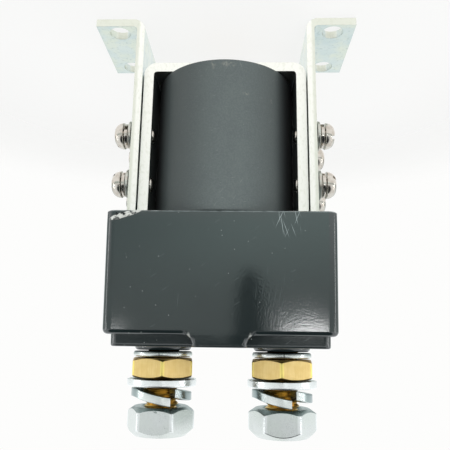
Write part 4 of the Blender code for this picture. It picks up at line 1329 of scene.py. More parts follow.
@dataclass
class BracketFasteners:
    """Eight slotted pan-head screws, each with a lock washer and a flat washer.

    Slots are turned as the photo shows them at the front: the degrees of the low and
    the high row, on the left and on the right, are seen from each screw's head and
    measured from the front towards the studs.
    """

    low_row: float = 37.3 * MM
    high_row: float = 52.7 * MM
    spacing: float = 20.0 * MM
    washer_seat: float = 27.8 * MM
    lock_seat: float = 28.9 * MM
    head_seat: float = 30.2 * MM
    shank_radius: float = 2.0 * MM
    bore_radius: float = 2.3 * MM
    shank_end: float = 20.9 * MM
    head_radius: float = 4.0 * MM
    head_height: float = 3.0 * MM
    slot_width: float = 1.0 * MM
    slot_depth: float = 1.25 * MM
    washer_radius: float = 4.5 * MM
    washer_thickness: float = 0.8 * MM
    lock_radius: float = 3.7 * MM
    lock_thickness: float = 1.0 * MM
    lock_split: float = math.radians(24)
    segments: int = 40
    front_slots: tuple = ((28, -28), (90, -43))
    # Further turn of the low row's slots at the rear, in radians. The high row's is one more.
    rear_turn: float = 1.1

    def drill(self, start: float, end: float) -> list[Object]:
        """Cut one wall's screw holes.

        Args:
            start: Where they start on X.
            end: Where they end.

        Returns:
            Four closed cutters.
        """
        places = [(y * self.spacing / 2, z) for y in (-1, 1) for z in (self.low_row, self.high_row)]
        holes = [circle(self.bore_radius, 32, place) for place in places]
        return [draw_along("screw_hole", hole, Axis.X, start, end) for hole in holes]

    def build(self) -> None:
        """Make one of each fastener and repeat it at all eight places."""
        bore, radius, thickness = self.bore_radius, self.lock_radius, self.lock_thickness
        ring = SplitRing(bore, radius, thickness, self.lock_split, 0.0, 0.6).mesh(48, 0.12 * MM)
        lock = object_from("lock_washer", ring)
        ring = washer_mesh(bore, self.washer_radius, self.washer_thickness, 48)
        flat = object_from("flat_washer", ring)
        shade(lock)
        shade(flat)
        for name, part, seat, finish in (
            ("bracket_screw", self._screw(), self.head_seat, "nickel"),
            ("bracket_lock_washer", lock, self.lock_seat, "nickel"),
            ("bracket_flat_washer", flat, self.washer_seat, "small washer"),
        ):
            self._repeat(name, part, seat, finish)

    def _repeat(self, node: str, part: Object, seat: float, finish: str) -> None:
        """Repeat a fastener at the eight places with Geometry Nodes.

        Args:
            node: What the eight CAD nodes' names begin with.
            part: Upright fastener with its seat at z = 0, removed afterwards.
            seat: Distance of the seat from the middle of the object.
            finish: Name of the finish.
        """
        name = f"{node}s"
        part.data.transform(Matrix.Rotation(math.pi / 2, 4, "Y"))
        graph = Graph(name, {"Fastener": part, "Seat": seat, "Material": PAINT_SHOP.get(finish)})
        x, y, z = graph.position()
        seat_place = graph.add("ShaderNodeCombineXYZ", {0: x * graph.size("Seat"), 1: y, 2: z})
        values = {"Geometry": graph.size("Geometry"), "Position": seat_place}
        seated = graph.add("GeometryNodeSetPosition", values)
        slot = graph.add("GeometryNodeInputNamedAttribute", {"data_type": "FLOAT", "Name": "slot"})
        half_turn = x.reckon("LESS_THAN", 0.0) * math.pi
        turn = graph.add("ShaderNodeCombineXYZ", {0: slot, 1: 0.0, 2: half_turn})
        values = {"transform_space": "ORIGINAL", 0: graph.size("Fastener")}
        model = graph.add("GeometryNodeObjectInfo", values, "Geometry")
        values = {"Points": seated, "Instance": model, "Rotation": turn}
        item = graph.run(graph.add("GeometryNodeInstanceOnPoints", values), self._places(name))
        bpy.data.objects.remove(part)
        shade(item, 0.0, sharp=40.0)
        nodes = [
            f"{node}_{side.word}_{end}_{row}"
            for side in Side
            for end in ("front", "rear")
            for row in ("low", "high")
        ]
        install(item, finish, *nodes)

    def _places(self, name: str) -> Mesh:
        """Return the eight places, one unit from the middle, with each slot's angle.

        Args:
            name: Name of the repeated piece.

        Returns:
            A mesh of loose points.
        """
        points, slots = [], []
        for side, angles in zip(Side, self.front_slots):
            for end in (-1, 1):
                for row, height in enumerate((self.low_row, self.high_row)):
                    points.append((side.value, end * self.spacing / 2, height))
                    angle = math.radians(angles[row]) + (0 if end < 0 else self.rear_turn + row)
                    slots.append(-side.value * angle)
        mesh = bpy.data.meshes.new(f"{name}_places")
        mesh.from_pydata(points, [], [])
        mesh.attributes.new("slot", "FLOAT", "POINT").data.foreach_set("value", slots)
        return mesh

    def _screw(self) -> Object:
        """Make one screw, its head's underside at the origin.

        Returns:
            The screw.
        """
        head, height, rim = self.head_radius, self.head_height, 0.25 * MM
        length = self.head_seat - self.shank_end
        dome = [
            (head * math.cos(a) ** 0.55, rim + (height - rim) * math.sin(a) ** 1.15)
            for a in (math.radians(d) for d in range(0, 84, 7))
        ]
        tip = arc((self.shank_radius - 0.9 * MM, 0.9 * MM - length), 0.9 * MM, -math.pi / 2, 0, 5)
        profile = (
            [(0.0, -length)]
            + tip
            + [(self.shank_radius, 0.0), (head - 0.12 * MM, 0.0), (head, 0.12 * MM)]
            + dome
            + [(0.0, height)]
        )
        screw = object_from("screw", turned(profile, self.segments))
        slot = rectangle(self.slot_width / 2, head + OVERCUT)
        low, high = height - self.slot_depth, height + OVERCUT
        combine(screw, [draw_along("slot", slot, Axis.Z, low, high)])
        shade(screw, 0.09 * MM, 2)
        return screw


def washer_mesh(
    inner: float,
    outer: float,
    thickness: float,
    segments: int,
    centre: Flat = (0.0, 0.0),
    bottom: float = 0.0,
) -> BMesh:
    """Return a punched washer, rounded above and crisp below.

    Args:
        inner: Radius of its hole.
        outer: Its radius.
        thickness: Its thickness.
        segments: Facets around.
        centre: Place of its axis.
        bottom: Height of its underside.

    Returns:
        A closed ring.
    """
    crisp, soft, quarter = 0.06 * thickness, 0.22 * thickness, math.pi / 2
    outside = arc((outer - soft, thickness - soft), soft, 0, quarter, 4)
    inside = arc((inner + soft, thickness - soft), soft, quarter, 2 * quarter, 4)
    profile = [(inner, crisp), (inner + crisp, 0.0), (outer - crisp, 0.0), (outer, crisp)]
    profile = [(r, bottom + z) for r, z in profile + outside + inside]
    return turned(profile, segments, centre)


@dataclass
class SplitRing:
    """Split washer, wound left-handed up to its raised end, seen from above.

    Attributes:
        inner: Radius of its hole.
        outer: Its radius.
        thickness: Thickness of its section.
        split: Angle of the split.
        rise: Lift of the raised end over the lowest point.
        end: Angle of the raised end.
        lift: Shares of the way round and of the rise that each has. A used washer
            isn't an even helix: it tilts, and its ends are bent apart.
    """

    inner: float
    outer: float
    thickness: float
    split: float
    rise: float = 0.0
    end: float = -math.pi / 2
    lift: Sequence[Flat] = ((0.0, 0.0), (1.0, 1.0))

    def _height(self, share: float) -> float:
        """Return the lift at one place.

        Args:
            share: Share of the way round.

        Returns:
            The height over the lowest point.
        """
        for (start, low), (end, high) in zip(self.lift, self.lift[1:]):
            if share <= end:
                step = (share - start) / (end - start)
                return self.rise * (low + (high - low) * step)
        return self.rise * self.lift[-1][1]

    def mesh(
        self, segments: int, edge: float, centre: Flat = (0.0, 0.0), bottom: float = 0.0
    ) -> BMesh:
        """Wind the washer.

        Args:
            segments: Sections around it.
            edge: Radius of its long edges.
            centre: Place of its axis.
            bottom: Height of its lowest point.

        Returns:
            A coiled bar with capped ends.
        """
        middle, half = (self.inner + self.outer) / 2, (self.outer - self.inner) / 2
        outline = rounded_rectangle(half, self.thickness / 2, edge, 3)
        # Share of the way round over which the lift is averaged, on each side.
        window = 0.035
        sections = []
        for i in range(segments + 1):
            share = i / segments
            angle = self.end + (math.tau - self.split) * (1 - share)
            near = [min(1.0, max(0.0, share + window * j / 3)) for j in range(-3, 4)]
            low = bottom + sum(self._height(n) for n in near) / len(near) + self.thickness / 2
            cos, sin = math.cos(angle), math.sin(angle)
            radii = [(middle + u, low + v) for u, v in outline]
            sections.append([(centre[0] + r * cos, centre[1] + r * sin, z) for r, z in radii])
        return loft(sections)


@dataclass
class HexNut:
    """Hexagon nut with a turned chamfer on each face.

    Attributes:
        across_flats: Its size.
        thickness: Its thickness.
        bore: Radius of its bore.
        faces: Radius of the flat ring on the lower and the upper face.
        chamfers: Slope of the lower and the upper chamfer.
        corner: Radius of its six corners.
        turn: Angle of its first corner.
    """

    across_flats: float
    thickness: float
    bore: float
    faces: Flat
    chamfers: Flat
    corner: float = 0.35 * MM
    turn: float = 0.0

    def mesh(self, centre: Flat, bottom: float) -> BMesh:
        """Cut the nut.

        Args:
            centre: Place of its axis.
            bottom: Height of its underside.

        Returns:
            A closed ring of quads.
        """
        outline = self._outline()
        directions = [math.atan2(y, x) for x, y in outline]

        def around(radius: float, height: float) -> list[Point]:
            """Return a circle with a point under each of the outline's."""
            ring = [(radius * math.cos(a), radius * math.sin(a)) for a in directions]
            return [(centre[0] + x, centre[1] + y, bottom + height) for x, y in ring]

        def drop(x: float, y: float, end: int) -> float:
            """Return a chamfer's fall at a point, on the lower (0) or the upper face (1)."""
            return (math.hypot(x, y) - self.faces[end]) * math.tan(self.chamfers[end])

        flats = [
            [(centre[0] + x, centre[1] + y, bottom + drop(x, y, 0)) for x, y in outline],
            [
                (centre[0] + x, centre[1] + y, bottom + (self.thickness - drop(x, y, 1)))
                for x, y in outline
            ],
        ]
        sink, full = 0.55 * MM, self.thickness
        mouth, (lower, upper) = self.bore + sink, self.faces
        rings = [around(self.bore, sink), around(mouth, 0.0), around(lower, 0.0), *flats]
        rings += [around(upper, full), around(mouth, full), around(self.bore, full - sink)]
        return loft(rings, loop=True)

    def _outline(self) -> list[Flat]:
        """Draw the rounded hexagon.

        Returns:
            Its points, with some along the flats for the chamfer's curve.
        """
        reach = (self.across_flats / 2 - self.corner) / math.cos(math.pi / 6)
        corners = []
        for i in range(6):
            angle = self.turn + math.pi / 3 * i
            middle = (reach * math.cos(angle), reach * math.sin(angle))
            corners.append(arc(middle, self.corner, angle - math.pi / 6, angle + math.pi / 6, 5))
        outline, along = [], 12
        for i, points in enumerate(corners):
            outline += points
            (x0, y0), (x1, y1) = points[-1], corners[(i + 1) % 6][0]
            outline += [(x0 + (x1 - x0) * j / along, y0 + (y1 - y0) * j / along) for j in range(1, along)]
        return outline


@dataclass
class CoilAssembly:
    """Moulded jacket over a bobbin and winding, with two blades at the rear."""

    radius: float = 21.4 * MM
    bottom: float = 17.8 * MM
    top: float = 63.4 * MM
    wall: float = 1.1 * MM
    end_wall: float = 1.2 * MM
    edge: float = 0.6 * MM
    bore: float = 11.1 * MM
    blade_x: float = 17.0 * MM
    blade_z: float = 26.0 * MM
    shoulder_face: float = 15.2 * MM
    shoulder_width: float = 5.4 * MM
    shoulder_height: float = 9.8 * MM
    shoulder_depth: float = 9.0 * MM
    blade_thickness: float = 0.8 * MM
    blade_width: float = 6.3 * MM
    blade_root: float = 1.7 * MM
    segments: int = 160

    def build(self) -> None:
        """Mould the jacket, round the blades' edges and dress what is inside."""
        self._jacket()
        for side in Side:
            blade = merge_copy(f"quick_blade_{side.word}", f"coil_blade_{side.word}")
            shade(blade, 0.12 * MM, 2)
            install(blade, "tin", f"coil_blade_{side.word}")
        PAINT_SHOP.dress_node("nylon", "coil_bobbin")
        PAINT_SHOP.dress_node("winding", "coil_winding")

    def _jacket(self) -> None:
        """Turn the jacket, add the shoulders and open it."""
        quarter, edge = math.pi / 2, self.edge
        profile = (
            [(0.0, self.bottom)]
            + arc((self.radius - edge, self.bottom + edge), edge, -quarter, 0, 5)
            + arc((self.radius - edge, self.top - edge), edge, 0, quarter, 5)
            + [(0.0, self.top)]
        )
        jacket = object_from("coil_moulding", turned(profile, self.segments))
        half_x, half_z = self.shoulder_width / 2, self.shoulder_height / 2
        combine(jacket, [self._at_blade(side, half_x, half_z, False) for side in Side], "UNION")
        half_x, half_z = self.blade_thickness / 2 + GAP, self.blade_width / 2 + GAP
        pockets = [self._at_blade(side, half_x, half_z, True) for side in Side]
        inner, bore = self.radius - self.wall, self.bore
        low, high = self.bottom - OVERCUT, self.top + OVERCUT
        floor, roof = self.bottom + self.end_wall, self.top - self.end_wall
        hollow = [(0.0, low), (bore, low), (bore, floor), (inner, floor)]
        hollow += [(inner, roof), (bore, roof), (bore, high), (0.0, high)]
        combine(jacket, [object_from("hollow", turned(hollow, 96))] + pockets)
        shade(jacket, 0.0, sharp=30.0)
        install(jacket, "jacket", "coil_jacket")

    def _at_blade(self, side: Side, half_x: float, half_z: float, pocket: bool) -> Object:
        """Return a block at one blade.

        Args:
            side: Which blade.
            half_x: Half its width.
            half_z: Half its height.
            pocket: True for the blade's pocket, False for the shoulder around it.

        Returns:
            A closed block.
        """
        outline = rectangle(half_x, half_z, (side.value * self.blade_x, self.blade_z))
        start = self.shoulder_face - (self.blade_root + GAP if pocket else self.shoulder_depth)
        end = self.shoulder_face + (OVERCUT if pocket else 0.0)
        block = draw_along("at_blade", outline, Axis.Y, start, end)
        if not pocket:
            shade(block, 0.4 * MM, 3)
        return block


@dataclass
class ContactBlock:
    """Moulded block with drafted sides, a stepped top and a tongue front and rear."""

    half_x: float = 31.45 * MM
    half_y: float = 22.5 * MM
    rim: float = 63.7 * MM
    ledge: float = 96.6 * MM
    top: float = 99.7 * MM
    shelf: float = 67.0 * MM
    ceiling: float = 93.0 * MM
    draft: float = math.radians(1.0)
    corner: float = 2.8 * MM
    wall: float = 3.0 * MM
    rim_edge: float = 0.2 * MM
    ledge_edge: float = 1.3 * MM
    step_draft: float = math.radians(1.5)
    step_x: float = 1.6 * MM
    step_y: float = 3.5 * MM
    step_corner: float = 2.0 * MM
    step_edge: float = 0.5 * MM
    tongue: float = 7.2 * MM
    fillet: float = 2.2 * MM
    blend: float = 0.6 * MM
    recess_x: float = 28.3 * MM
    recess_y: float = 19.3 * MM
    boss_radius: float = 8.25 * MM
    boss_height: float = 1.0 * MM
    boss_edge: float = 0.8 * MM
    stud_bore: float = 5.2 * MM
    screw_y: float = 15.5 * MM
    well_radius: float = 4.3 * MM
    well_floor: float = 91.7 * MM
    screw_bore: float = 2.3 * MM
    column_wall: float = 1.2 * MM
    corner_steps: int = 14

    def build(self) -> None:
        """Mould the block, open it, tear its corner and set its two screws."""
        block = object_from("block_moulding", loft(self._sections()))
        combine(block, [self._boss(side) for side in Side], "UNION")
        combine(block, self._openings())
        combine(block, [self._torn_corner()])
        shade(block, 0.0, sharp=28.0)
        install(block, "block", "contact_block")
        for end, word in ((-1, "front"), (1, "rear")):
            self._screw(end, word)

    def _half(self, half: float, z: float) -> float:
        """Return half a size of the drafted block at a height."""
        return half - (z - self.rim) * math.tan(self.draft)

    def _tongue_half(self, z: float) -> float:
        """Return half the tongue's width at a height, with its fillet onto the ledge."""
        short = max(0.0, self.fillet - (z - self.ledge))
        return self.tongue + self.fillet - math.sqrt(self.fillet**2 - short**2)

    def _tongue_edge(self, half: float, y: float, depth: float) -> list[Flat]:
        """Return the tongue's upright edge, from its face round to its flank.

        Args:
            half: Half the tongue's width.
            y: Place of its face.
            depth: How deep the rounding is, the ledge's own rounding at most.

        Returns:
            Its points.
        """
        start, steps = half - self.ledge_edge, 5
        angles = [math.pi / 2 * i / steps for i in range(steps + 1)]
        return [(start + self.ledge_edge * math.sin(a), y - depth * (1 - math.cos(a))) for a in angles]

    def _below_ledge(self, z: float, inset: float, tongue_inset: float = 0.0) -> list[Point]:
        """Return an outline below the ledge.

        Args:
            z: Its height.
            inset: How far it is drawn in.
            tongue_inset: How far the tongue's face is drawn in.

        Returns:
            Its points.
        """
        x, y = self._half(self.half_x, z), self._half(self.half_y, z)
        tongue = self._tongue_half(self.ledge)
        quarter = [(0.0, y - tongue_inset)] + self._tongue_edge(tongue, y - tongue_inset, inset)
        quarter.append((tongue + self.blend, y - inset))
        centre = (x - self.corner, y - self.corner)
        quarter += arc(centre, self.corner - inset, math.pi / 2, 0, self.corner_steps)
        quarter.append((x - inset, 0.0))
        return [(px, py, z) for px, py in four_way(quarter)]

    def _above_ledge(self, z: float, inset: float = 0.0) -> list[Point]:
        """Return an outline of the stepped top.

        Args:
            z: Its height.
            inset: How far it is drawn in.

        Returns:
            Its points.
        """
        x, y = self._half(self.half_x, z), self._half(self.half_y, z)
        tongue = self._tongue_half(z) - inset
        lean = (z - self.ledge) * math.tan(self.step_draft)
        step_x, step_y = x - self.step_x, y - self.step_y - lean
        quarter = [(0.0, y - inset)] + self._tongue_edge(tongue, y - inset, self.ledge_edge)
        quarter.append((tongue, step_y - inset))
        centre = (step_x - self.step_corner, step_y - self.step_corner)
        quarter += arc(centre, self.step_corner - inset, math.pi / 2, 0, self.corner_steps)
        quarter.append((step_x - inset, 0.0))
        return [(px, py, z) for px, py in four_way(quarter)]

    def _sections(self) -> list[list[Point]]:
        """Draw the outer form's sections.

        Returns:
            Rings of points, from the rim to the top.
        """
        sections = [self._below_ledge(self.rim, self.rim_edge, self.rim_edge)]
        sections.append(self._below_ledge(self.rim + self.rim_edge, 0.0))
        for i in range(7):
            angle = math.pi / 12 * i
            height = self.ledge - self.ledge_edge * (1 - math.sin(angle))
            sections.append(self._below_ledge(height, self.ledge_edge * (1 - math.cos(angle))))
        for i in range(11):
            angle = math.pi / 20 * i
            sections.append(self._above_ledge(self.ledge + self.fillet * (1 - math.cos(angle))))
        for i in range(6):
            angle = math.pi / 10 * i
            height = self.top - self.step_edge * (1 - math.sin(angle))
            sections.append(self._above_ledge(height, self.step_edge * (1 - math.cos(angle))))
        return sections

    def _boss(self, side: Side) -> Object:
        """Return the raised seat around one stud, its rim rounded.

        Args:
            side: Side of the stud.

        Returns:
            A closed disc that reaches into the block.
        """
        radius, edge, top = self.boss_radius, self.boss_edge, self.top + self.boss_height
        profile = [(0.0, self.top - 1.5 * MM), (radius, self.top - 1.5 * MM)]
        profile += arc((radius - edge, top - edge), edge, 0, math.pi / 2, 7) + [(0.0, top)]
        return object_from("boss", turned(profile, 96, (side.value * TERMINALS.stud_x, 0.0)))

    def _openings(self) -> list[Object]:
        """Cut the plate's recess, the chamber, the bores and the wells.

        Returns:
            Closed cutters.
        """
        recess = rounded_rectangle(self.recess_x, self.recess_y, 2.0 * MM, 6)
        tools = [
            draw_along("recess", recess, Axis.Z, self.rim - OVERCUT, self.shelf),
            draw_along("chamber", self._chamber(), Axis.Z, self.shelf - OVERCUT, self.ceiling),
        ]
        for side in Side:
            bore = circle(self.stud_bore, 64, (side.value * TERMINALS.stud_x, 0.0))
            top = self.top + self.boss_height + OVERCUT
            tools.append(draw_along("bore", bore, Axis.Z, self.ceiling - OVERCUT, top))
        for end in (-1, 1):
            centre = (0.0, end * self.screw_y)
            well, hole = circle(self.well_radius, 64, centre), circle(self.screw_bore, 32, centre)
            tools.append(draw_along("well", well, Axis.Z, self.well_floor, self.top + OVERCUT))
            bottom, top = self.shelf - OVERCUT, self.well_floor + OVERCUT
            tools.append(draw_along("hole", hole, Axis.Z, bottom, top))
        return tools

    def _chamber(self) -> list[Flat]:
        """Draw the chamber's outline, with room for the two screw columns.

        Returns:
            Its points.
        """
        x = self._half(self.half_x, self.ledge) - self.wall
        y = self._half(self.half_y, self.ledge) - self.wall
        column = self.well_radius + self.column_wall
        radius = 1.4 * MM
        quarter = [(column, self.screw_y - column), (column, y)]
        quarter += arc((x - radius, y - radius), radius, math.pi / 2, 0, 6)
        return four_way(quarter)

    def _torn_corner(self) -> Object:
        """Cut the shallow ragged groove of the torn rim.

        Returns:
            A closed cutter.
        """
        start, end = Vector(GlossMoulding.scuff_start), Vector(GlossMoulding.scuff_end)
        count, sides = 13, 9
        sections = []
        for i in range(count):
            share = i / (count - 1)
            middle = start.lerp(end, share) + Vector((0.0, -0.35 * MM, 0.0))
            wobble = math.sin(5.1 * i) * 0.3 + math.sin(2.3 * i + 1.0) * 0.25
            radius = (0.62 + 0.28 * wobble) * MM * (0.35 + math.sin(math.pi * min(1.0, share + 0.1)))
            middle.z += 0.35 * MM * math.sin(3.7 * i)
            angles = [math.tau * j / sides for j in range(sides)]
            ring = [(radius * math.cos(a), 1.15 * radius * math.sin(a)) for a in angles]
            sections.append([(middle.x, middle.y + y, middle.z + z) for y, z in ring])
        return object_from("torn", loft(sections))

    def _screw(self, end: int, word: str) -> None:
        """Set one recessed screw that holds the block to the pole plate.

        Args:
            end: -1 for the front, 1 for the rear.
            word: The end's name.
        """
        low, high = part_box(f"block_screw_{word}")
        centre = (0.0, end * self.screw_y)
        head, shank, height = 3.8 * MM, 2.0 * MM, 2.4 * MM
        seat = high.z - height
        angles = (0.0, 0.35, 0.7, 1.05, 1.3)
        dome = [(head * math.cos(a), seat + height * (0.45 + 0.55 * math.sin(a))) for a in angles]
        profile = [(0.0, low.z), (shank - 0.4 * MM, low.z), (shank, low.z + 0.4 * MM), (shank, seat)]
        profile += [(head, seat)] + dome + [(0.0, high.z)]
        screw = object_from(f"recessed_screw_{word}", turned(profile, 48, centre))
        slot = rectangle(head + OVERCUT, 0.5 * MM, centre)
        combine(screw, [draw_along("slot", slot, Axis.Z, high.z - 1.2 * MM, high.z + OVERCUT)])
        shade(screw, 0.08 * MM, 2)
        install(screw, "nickel", f"block_screw_{word}")


@dataclass
class Terminals:
    """Two brass studs, each with its washers and nuts, all of M10 size."""

    stud_x: float = 17.5 * MM
    stud_radius: float = 4.9 * MM
    thread_depth: float = 0.8 * MM
    pitch: float = 1.5 * MM
    stud_top: float = 123.7 * MM
    head_top: float = 92.7 * MM
    head_bottom: float = 88.7 * MM
    pad_bottom: float = 87.2 * MM
    head_radius: float = 7.5 * MM
    pad_radius: float = 3.5 * MM
    bore: float = 5.2 * MM
    seat_bottom: float = 101.0 * MM
    seat_thickness: float = 1.6 * MM
    seat_radius: float = 8.6 * MM
    brass_bottom: float = 102.9 * MM
    brass_thickness: float = 5.6 * MM
    flat_bottom: float = 108.8 * MM
    flat_thickness: float = 2.0 * MM
    flat_radius: float = 10.0 * MM
    spring_bottom: float = 111.1 * MM
    spring_thickness: float = 2.4 * MM
    spring_radius: float = 8.7 * MM
    spring_rise: float = 2.6 * MM
    spring_split: float = math.radians(9)
    spring_lift: tuple = ((0.0, 0.0), (0.1, 0.45), (0.24, 0.56), (0.5, 0.36), (0.77, 0.0), (1.0, 1.0))
    steel_bottom: float = 116.4 * MM
    steel_thickness: float = 7.8 * MM
    across_flats: float = 17.0 * MM
    # Angles on the left and on the right.
    spring_end: Flat = (math.radians(256), math.radians(245))
    brass_turn: Flat = (math.radians(34), math.radians(22))
    steel_turn: Flat = (math.radians(4), math.radians(3))

    def build(self) -> None:
        """Build both stacks from the block upwards."""
        for i, side in enumerate(Side):
            centre = (side.value * self.stud_x, 0.0)
            self._stud(side, centre)
            seat = SplitRing(self.bore, self.seat_radius, self.seat_thickness, math.radians(1.4))
            mesh = seat.mesh(96, 0.6 * MM, centre, self.seat_bottom)
            self._add("seat_ring", side, mesh, "fastener", "seat_washer")
            self._brass_nut(side, centre, self.brass_turn[i])
            radius, thickness, bottom = self.flat_radius, self.flat_thickness, self.flat_bottom
            mesh = washer_mesh(self.bore, radius, thickness, 128, centre, bottom)
            self._add("flat_ring", side, mesh, "fastener", "flat_washer")
            radius, thickness, split = self.spring_radius, self.spring_thickness, self.spring_split
            end, lift = self.spring_end[i], self.spring_lift
            spring = SplitRing(self.bore, radius, thickness, split, self.spring_rise, end, lift)
            mesh = spring.mesh(160, 0.3 * MM, centre, self.spring_bottom)
            self._add("spring_ring", side, mesh, "spring washer", "spring_washer")
            self._steel_nut(side, centre, self.steel_turn[i])

    def _add(
        self, name: str, side: Side, bm: BMesh, finish: str, node: str, edge: float = 0.0
    ) -> None:
        """Shade and install one piece of a stack.

        Args:
            name: What the piece's name begins with.
            side: Side of the stack.
            bm: Its mesh.
            finish: Name of its finish.
            node: What the CAD node's name begins with.
            edge: Width of its rounded edges.
        """
        item = object_from(f"{name}_{side.word}", bm)
        shade(item, edge, 2, 28.0)
        install(item, finish, f"{node}_{side.word}")

    def _stud(self, side: Side, centre: Flat) -> None:
        """Thread one stud and join it to its head and contact pad.

        Args:
            side: Side of the stack.
            centre: Place of its axis.
        """
        name, bottom = f"threaded_stud_{side.word}", self.head_top - 1.0 * MM
        radius, depth = self.stud_radius, self.thread_depth
        stud = grow_thread(name, radius, depth, self.pitch, bottom, self.stud_top, "stud")
        stud.data.transform(Matrix.Translation((*centre, 0.0)))
        pad, head, edge = self.pad_radius, self.head_radius, 0.25 * MM
        low, middle, high = self.pad_bottom, self.head_bottom, self.head_top
        profile = [(0.0, low), (pad - edge, low), (pad, low + edge), (pad, middle)]
        profile += [(head - edge, middle), (head, middle + edge), (head, high - edge)]
        profile += [(head - edge, high), (0.0, high)]
        combine(stud, [object_from("head", turned(profile, 64, centre))], "UNION")
        shade(stud, 0.0, sharp=50.0)
        install(stud, "stud", f"terminal_stud_{side.word}")

    def _brass_nut(self, side: Side, centre: Flat, turn: float) -> None:
        """Cut one brass nut, a corner to the front.

        Args:
            side: Side of the stack.
            centre: Place of its axis.
            turn: Angle of its first corner.
        """
        faces, chamfers = (8.25 * MM, 8.2 * MM), (math.radians(30), math.radians(28))
        size, thickness = self.across_flats, self.brass_thickness
        nut = HexNut(size, thickness, self.bore, faces, chamfers, 0.6 * MM, turn)
        mesh = nut.mesh(centre, self.brass_bottom)
        self._add("hex_nut_brass", side, mesh, "brass nut", "brass_nut", 0.25 * MM)

    def _steel_nut(self, side: Side, centre: Flat, turn: float) -> None:
        """Cut one steel nut, a flat to the front. The right one has a nick.

        Args:
            side: Side of the stack.
            centre: Place of its axis.
            turn: Angle of its first corner.
        """
        faces, chamfers = (7.7 * MM, 7.5 * MM), (math.radians(34), math.radians(42))
        size, thickness = self.across_flats, self.steel_thickness
        nut = HexNut(size, thickness, self.bore, faces, chamfers, 0.45 * MM, turn)
        item = object_from(f"hex_nut_steel_{side.word}", nut.mesh(centre, self.steel_bottom))
        if side is Side.RIGHT:
            combine(item, [self._nick(centre)])
        shade(item, 0.16 * MM, 3, 24.0)
        install(item, "fastener", f"steel_nut_{side.word}")

    def _nick(self, centre: Flat) -> Object:
        """Return the cutter of a small dent in a nut's lower chamfer.

        Args:
            centre: Place of the nut's axis.

        Returns:
            A closed cutter.
        """
        bm = bmesh.new()
        bmesh.ops.create_icosphere(bm, subdivisions=2, radius=1.0)
        shape = Matrix.Diagonal((0.75 * MM, 0.4 * MM, 0.3 * MM, 1.0))
        place = Matrix.Translation((centre[0] + 0.4 * MM, -8.45 * MM, self.steel_bottom + 0.75 * MM))
        bm.transform(place @ Matrix.Rotation(math.radians(28), 4, "Y") @ shape)
        return object_from("nick", bm)


@dataclass
class Mechanism:
    """Moving parts and what guides them, all inside the coil and the block."""

    spring_radius: float = 4.1 * MM
    return_wire: float = 0.4 * MM
    return_turns: int = 6
    contact_wire: float = 0.45 * MM
    contact_turns: int = 3
    travel: float = 4.0 * MM
    give: float = 1.0 * MM

    def build(self) -> None:
        """Round and dress the rigid parts and wind both springs."""
        for name, node, body, finish in (
            ("guide_tube_drawn", "guide_tube", Body.CONTACTOR, "tube"),
            ("core_turned", "fixed_core", Body.CONTACTOR, "turned"),
            ("plunger_turned", "plunger", Body.PLUNGER, "turned"),
            ("rod_turned", "push_rod", Body.PLUNGER, "turned"),
            ("seat_collar_turned", "spring_seat_collar", Body.PLUNGER, "turned"),
            ("clip_stamped", "retaining_clip", Body.PLUNGER, "wire"),
            ("bridge_bar", "contact_bridge", Body.BRIDGE, "copper"),
            ("bridge_bush_moulded", "bridge_bush", Body.BRIDGE, "nylon"),
        ):
            item = merge_copy(name, node)
            shade(item, 0.1 * MM, 2)
            install(item, finish, node, body=body)
        self._spring("return_spring", Body.CONTACTOR, self.return_wire, self.return_turns)
        self._spring("contact_spring", Body.PLUNGER, self.contact_wire, self.contact_turns)

    def _spring(self, node: str, body: Body, wire: float, turns: int) -> None:
        """Wind a spring in its node's place.

        Args:
            node: CAD node that it stands for.
            body: Body that it rides on.
            wire: Radius of its wire.
            turns: Number of turns.
        """
        low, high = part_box(node)
        length, name = high.z - low.z, f"{node}_wound"
        spring = grow_spring(name, self.spring_radius, wire, turns, low.z, length, "wire")
        shade(spring, sharp=60.0)
        install(spring, "wire", node, body=body)
        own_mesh(spring)


# Studio


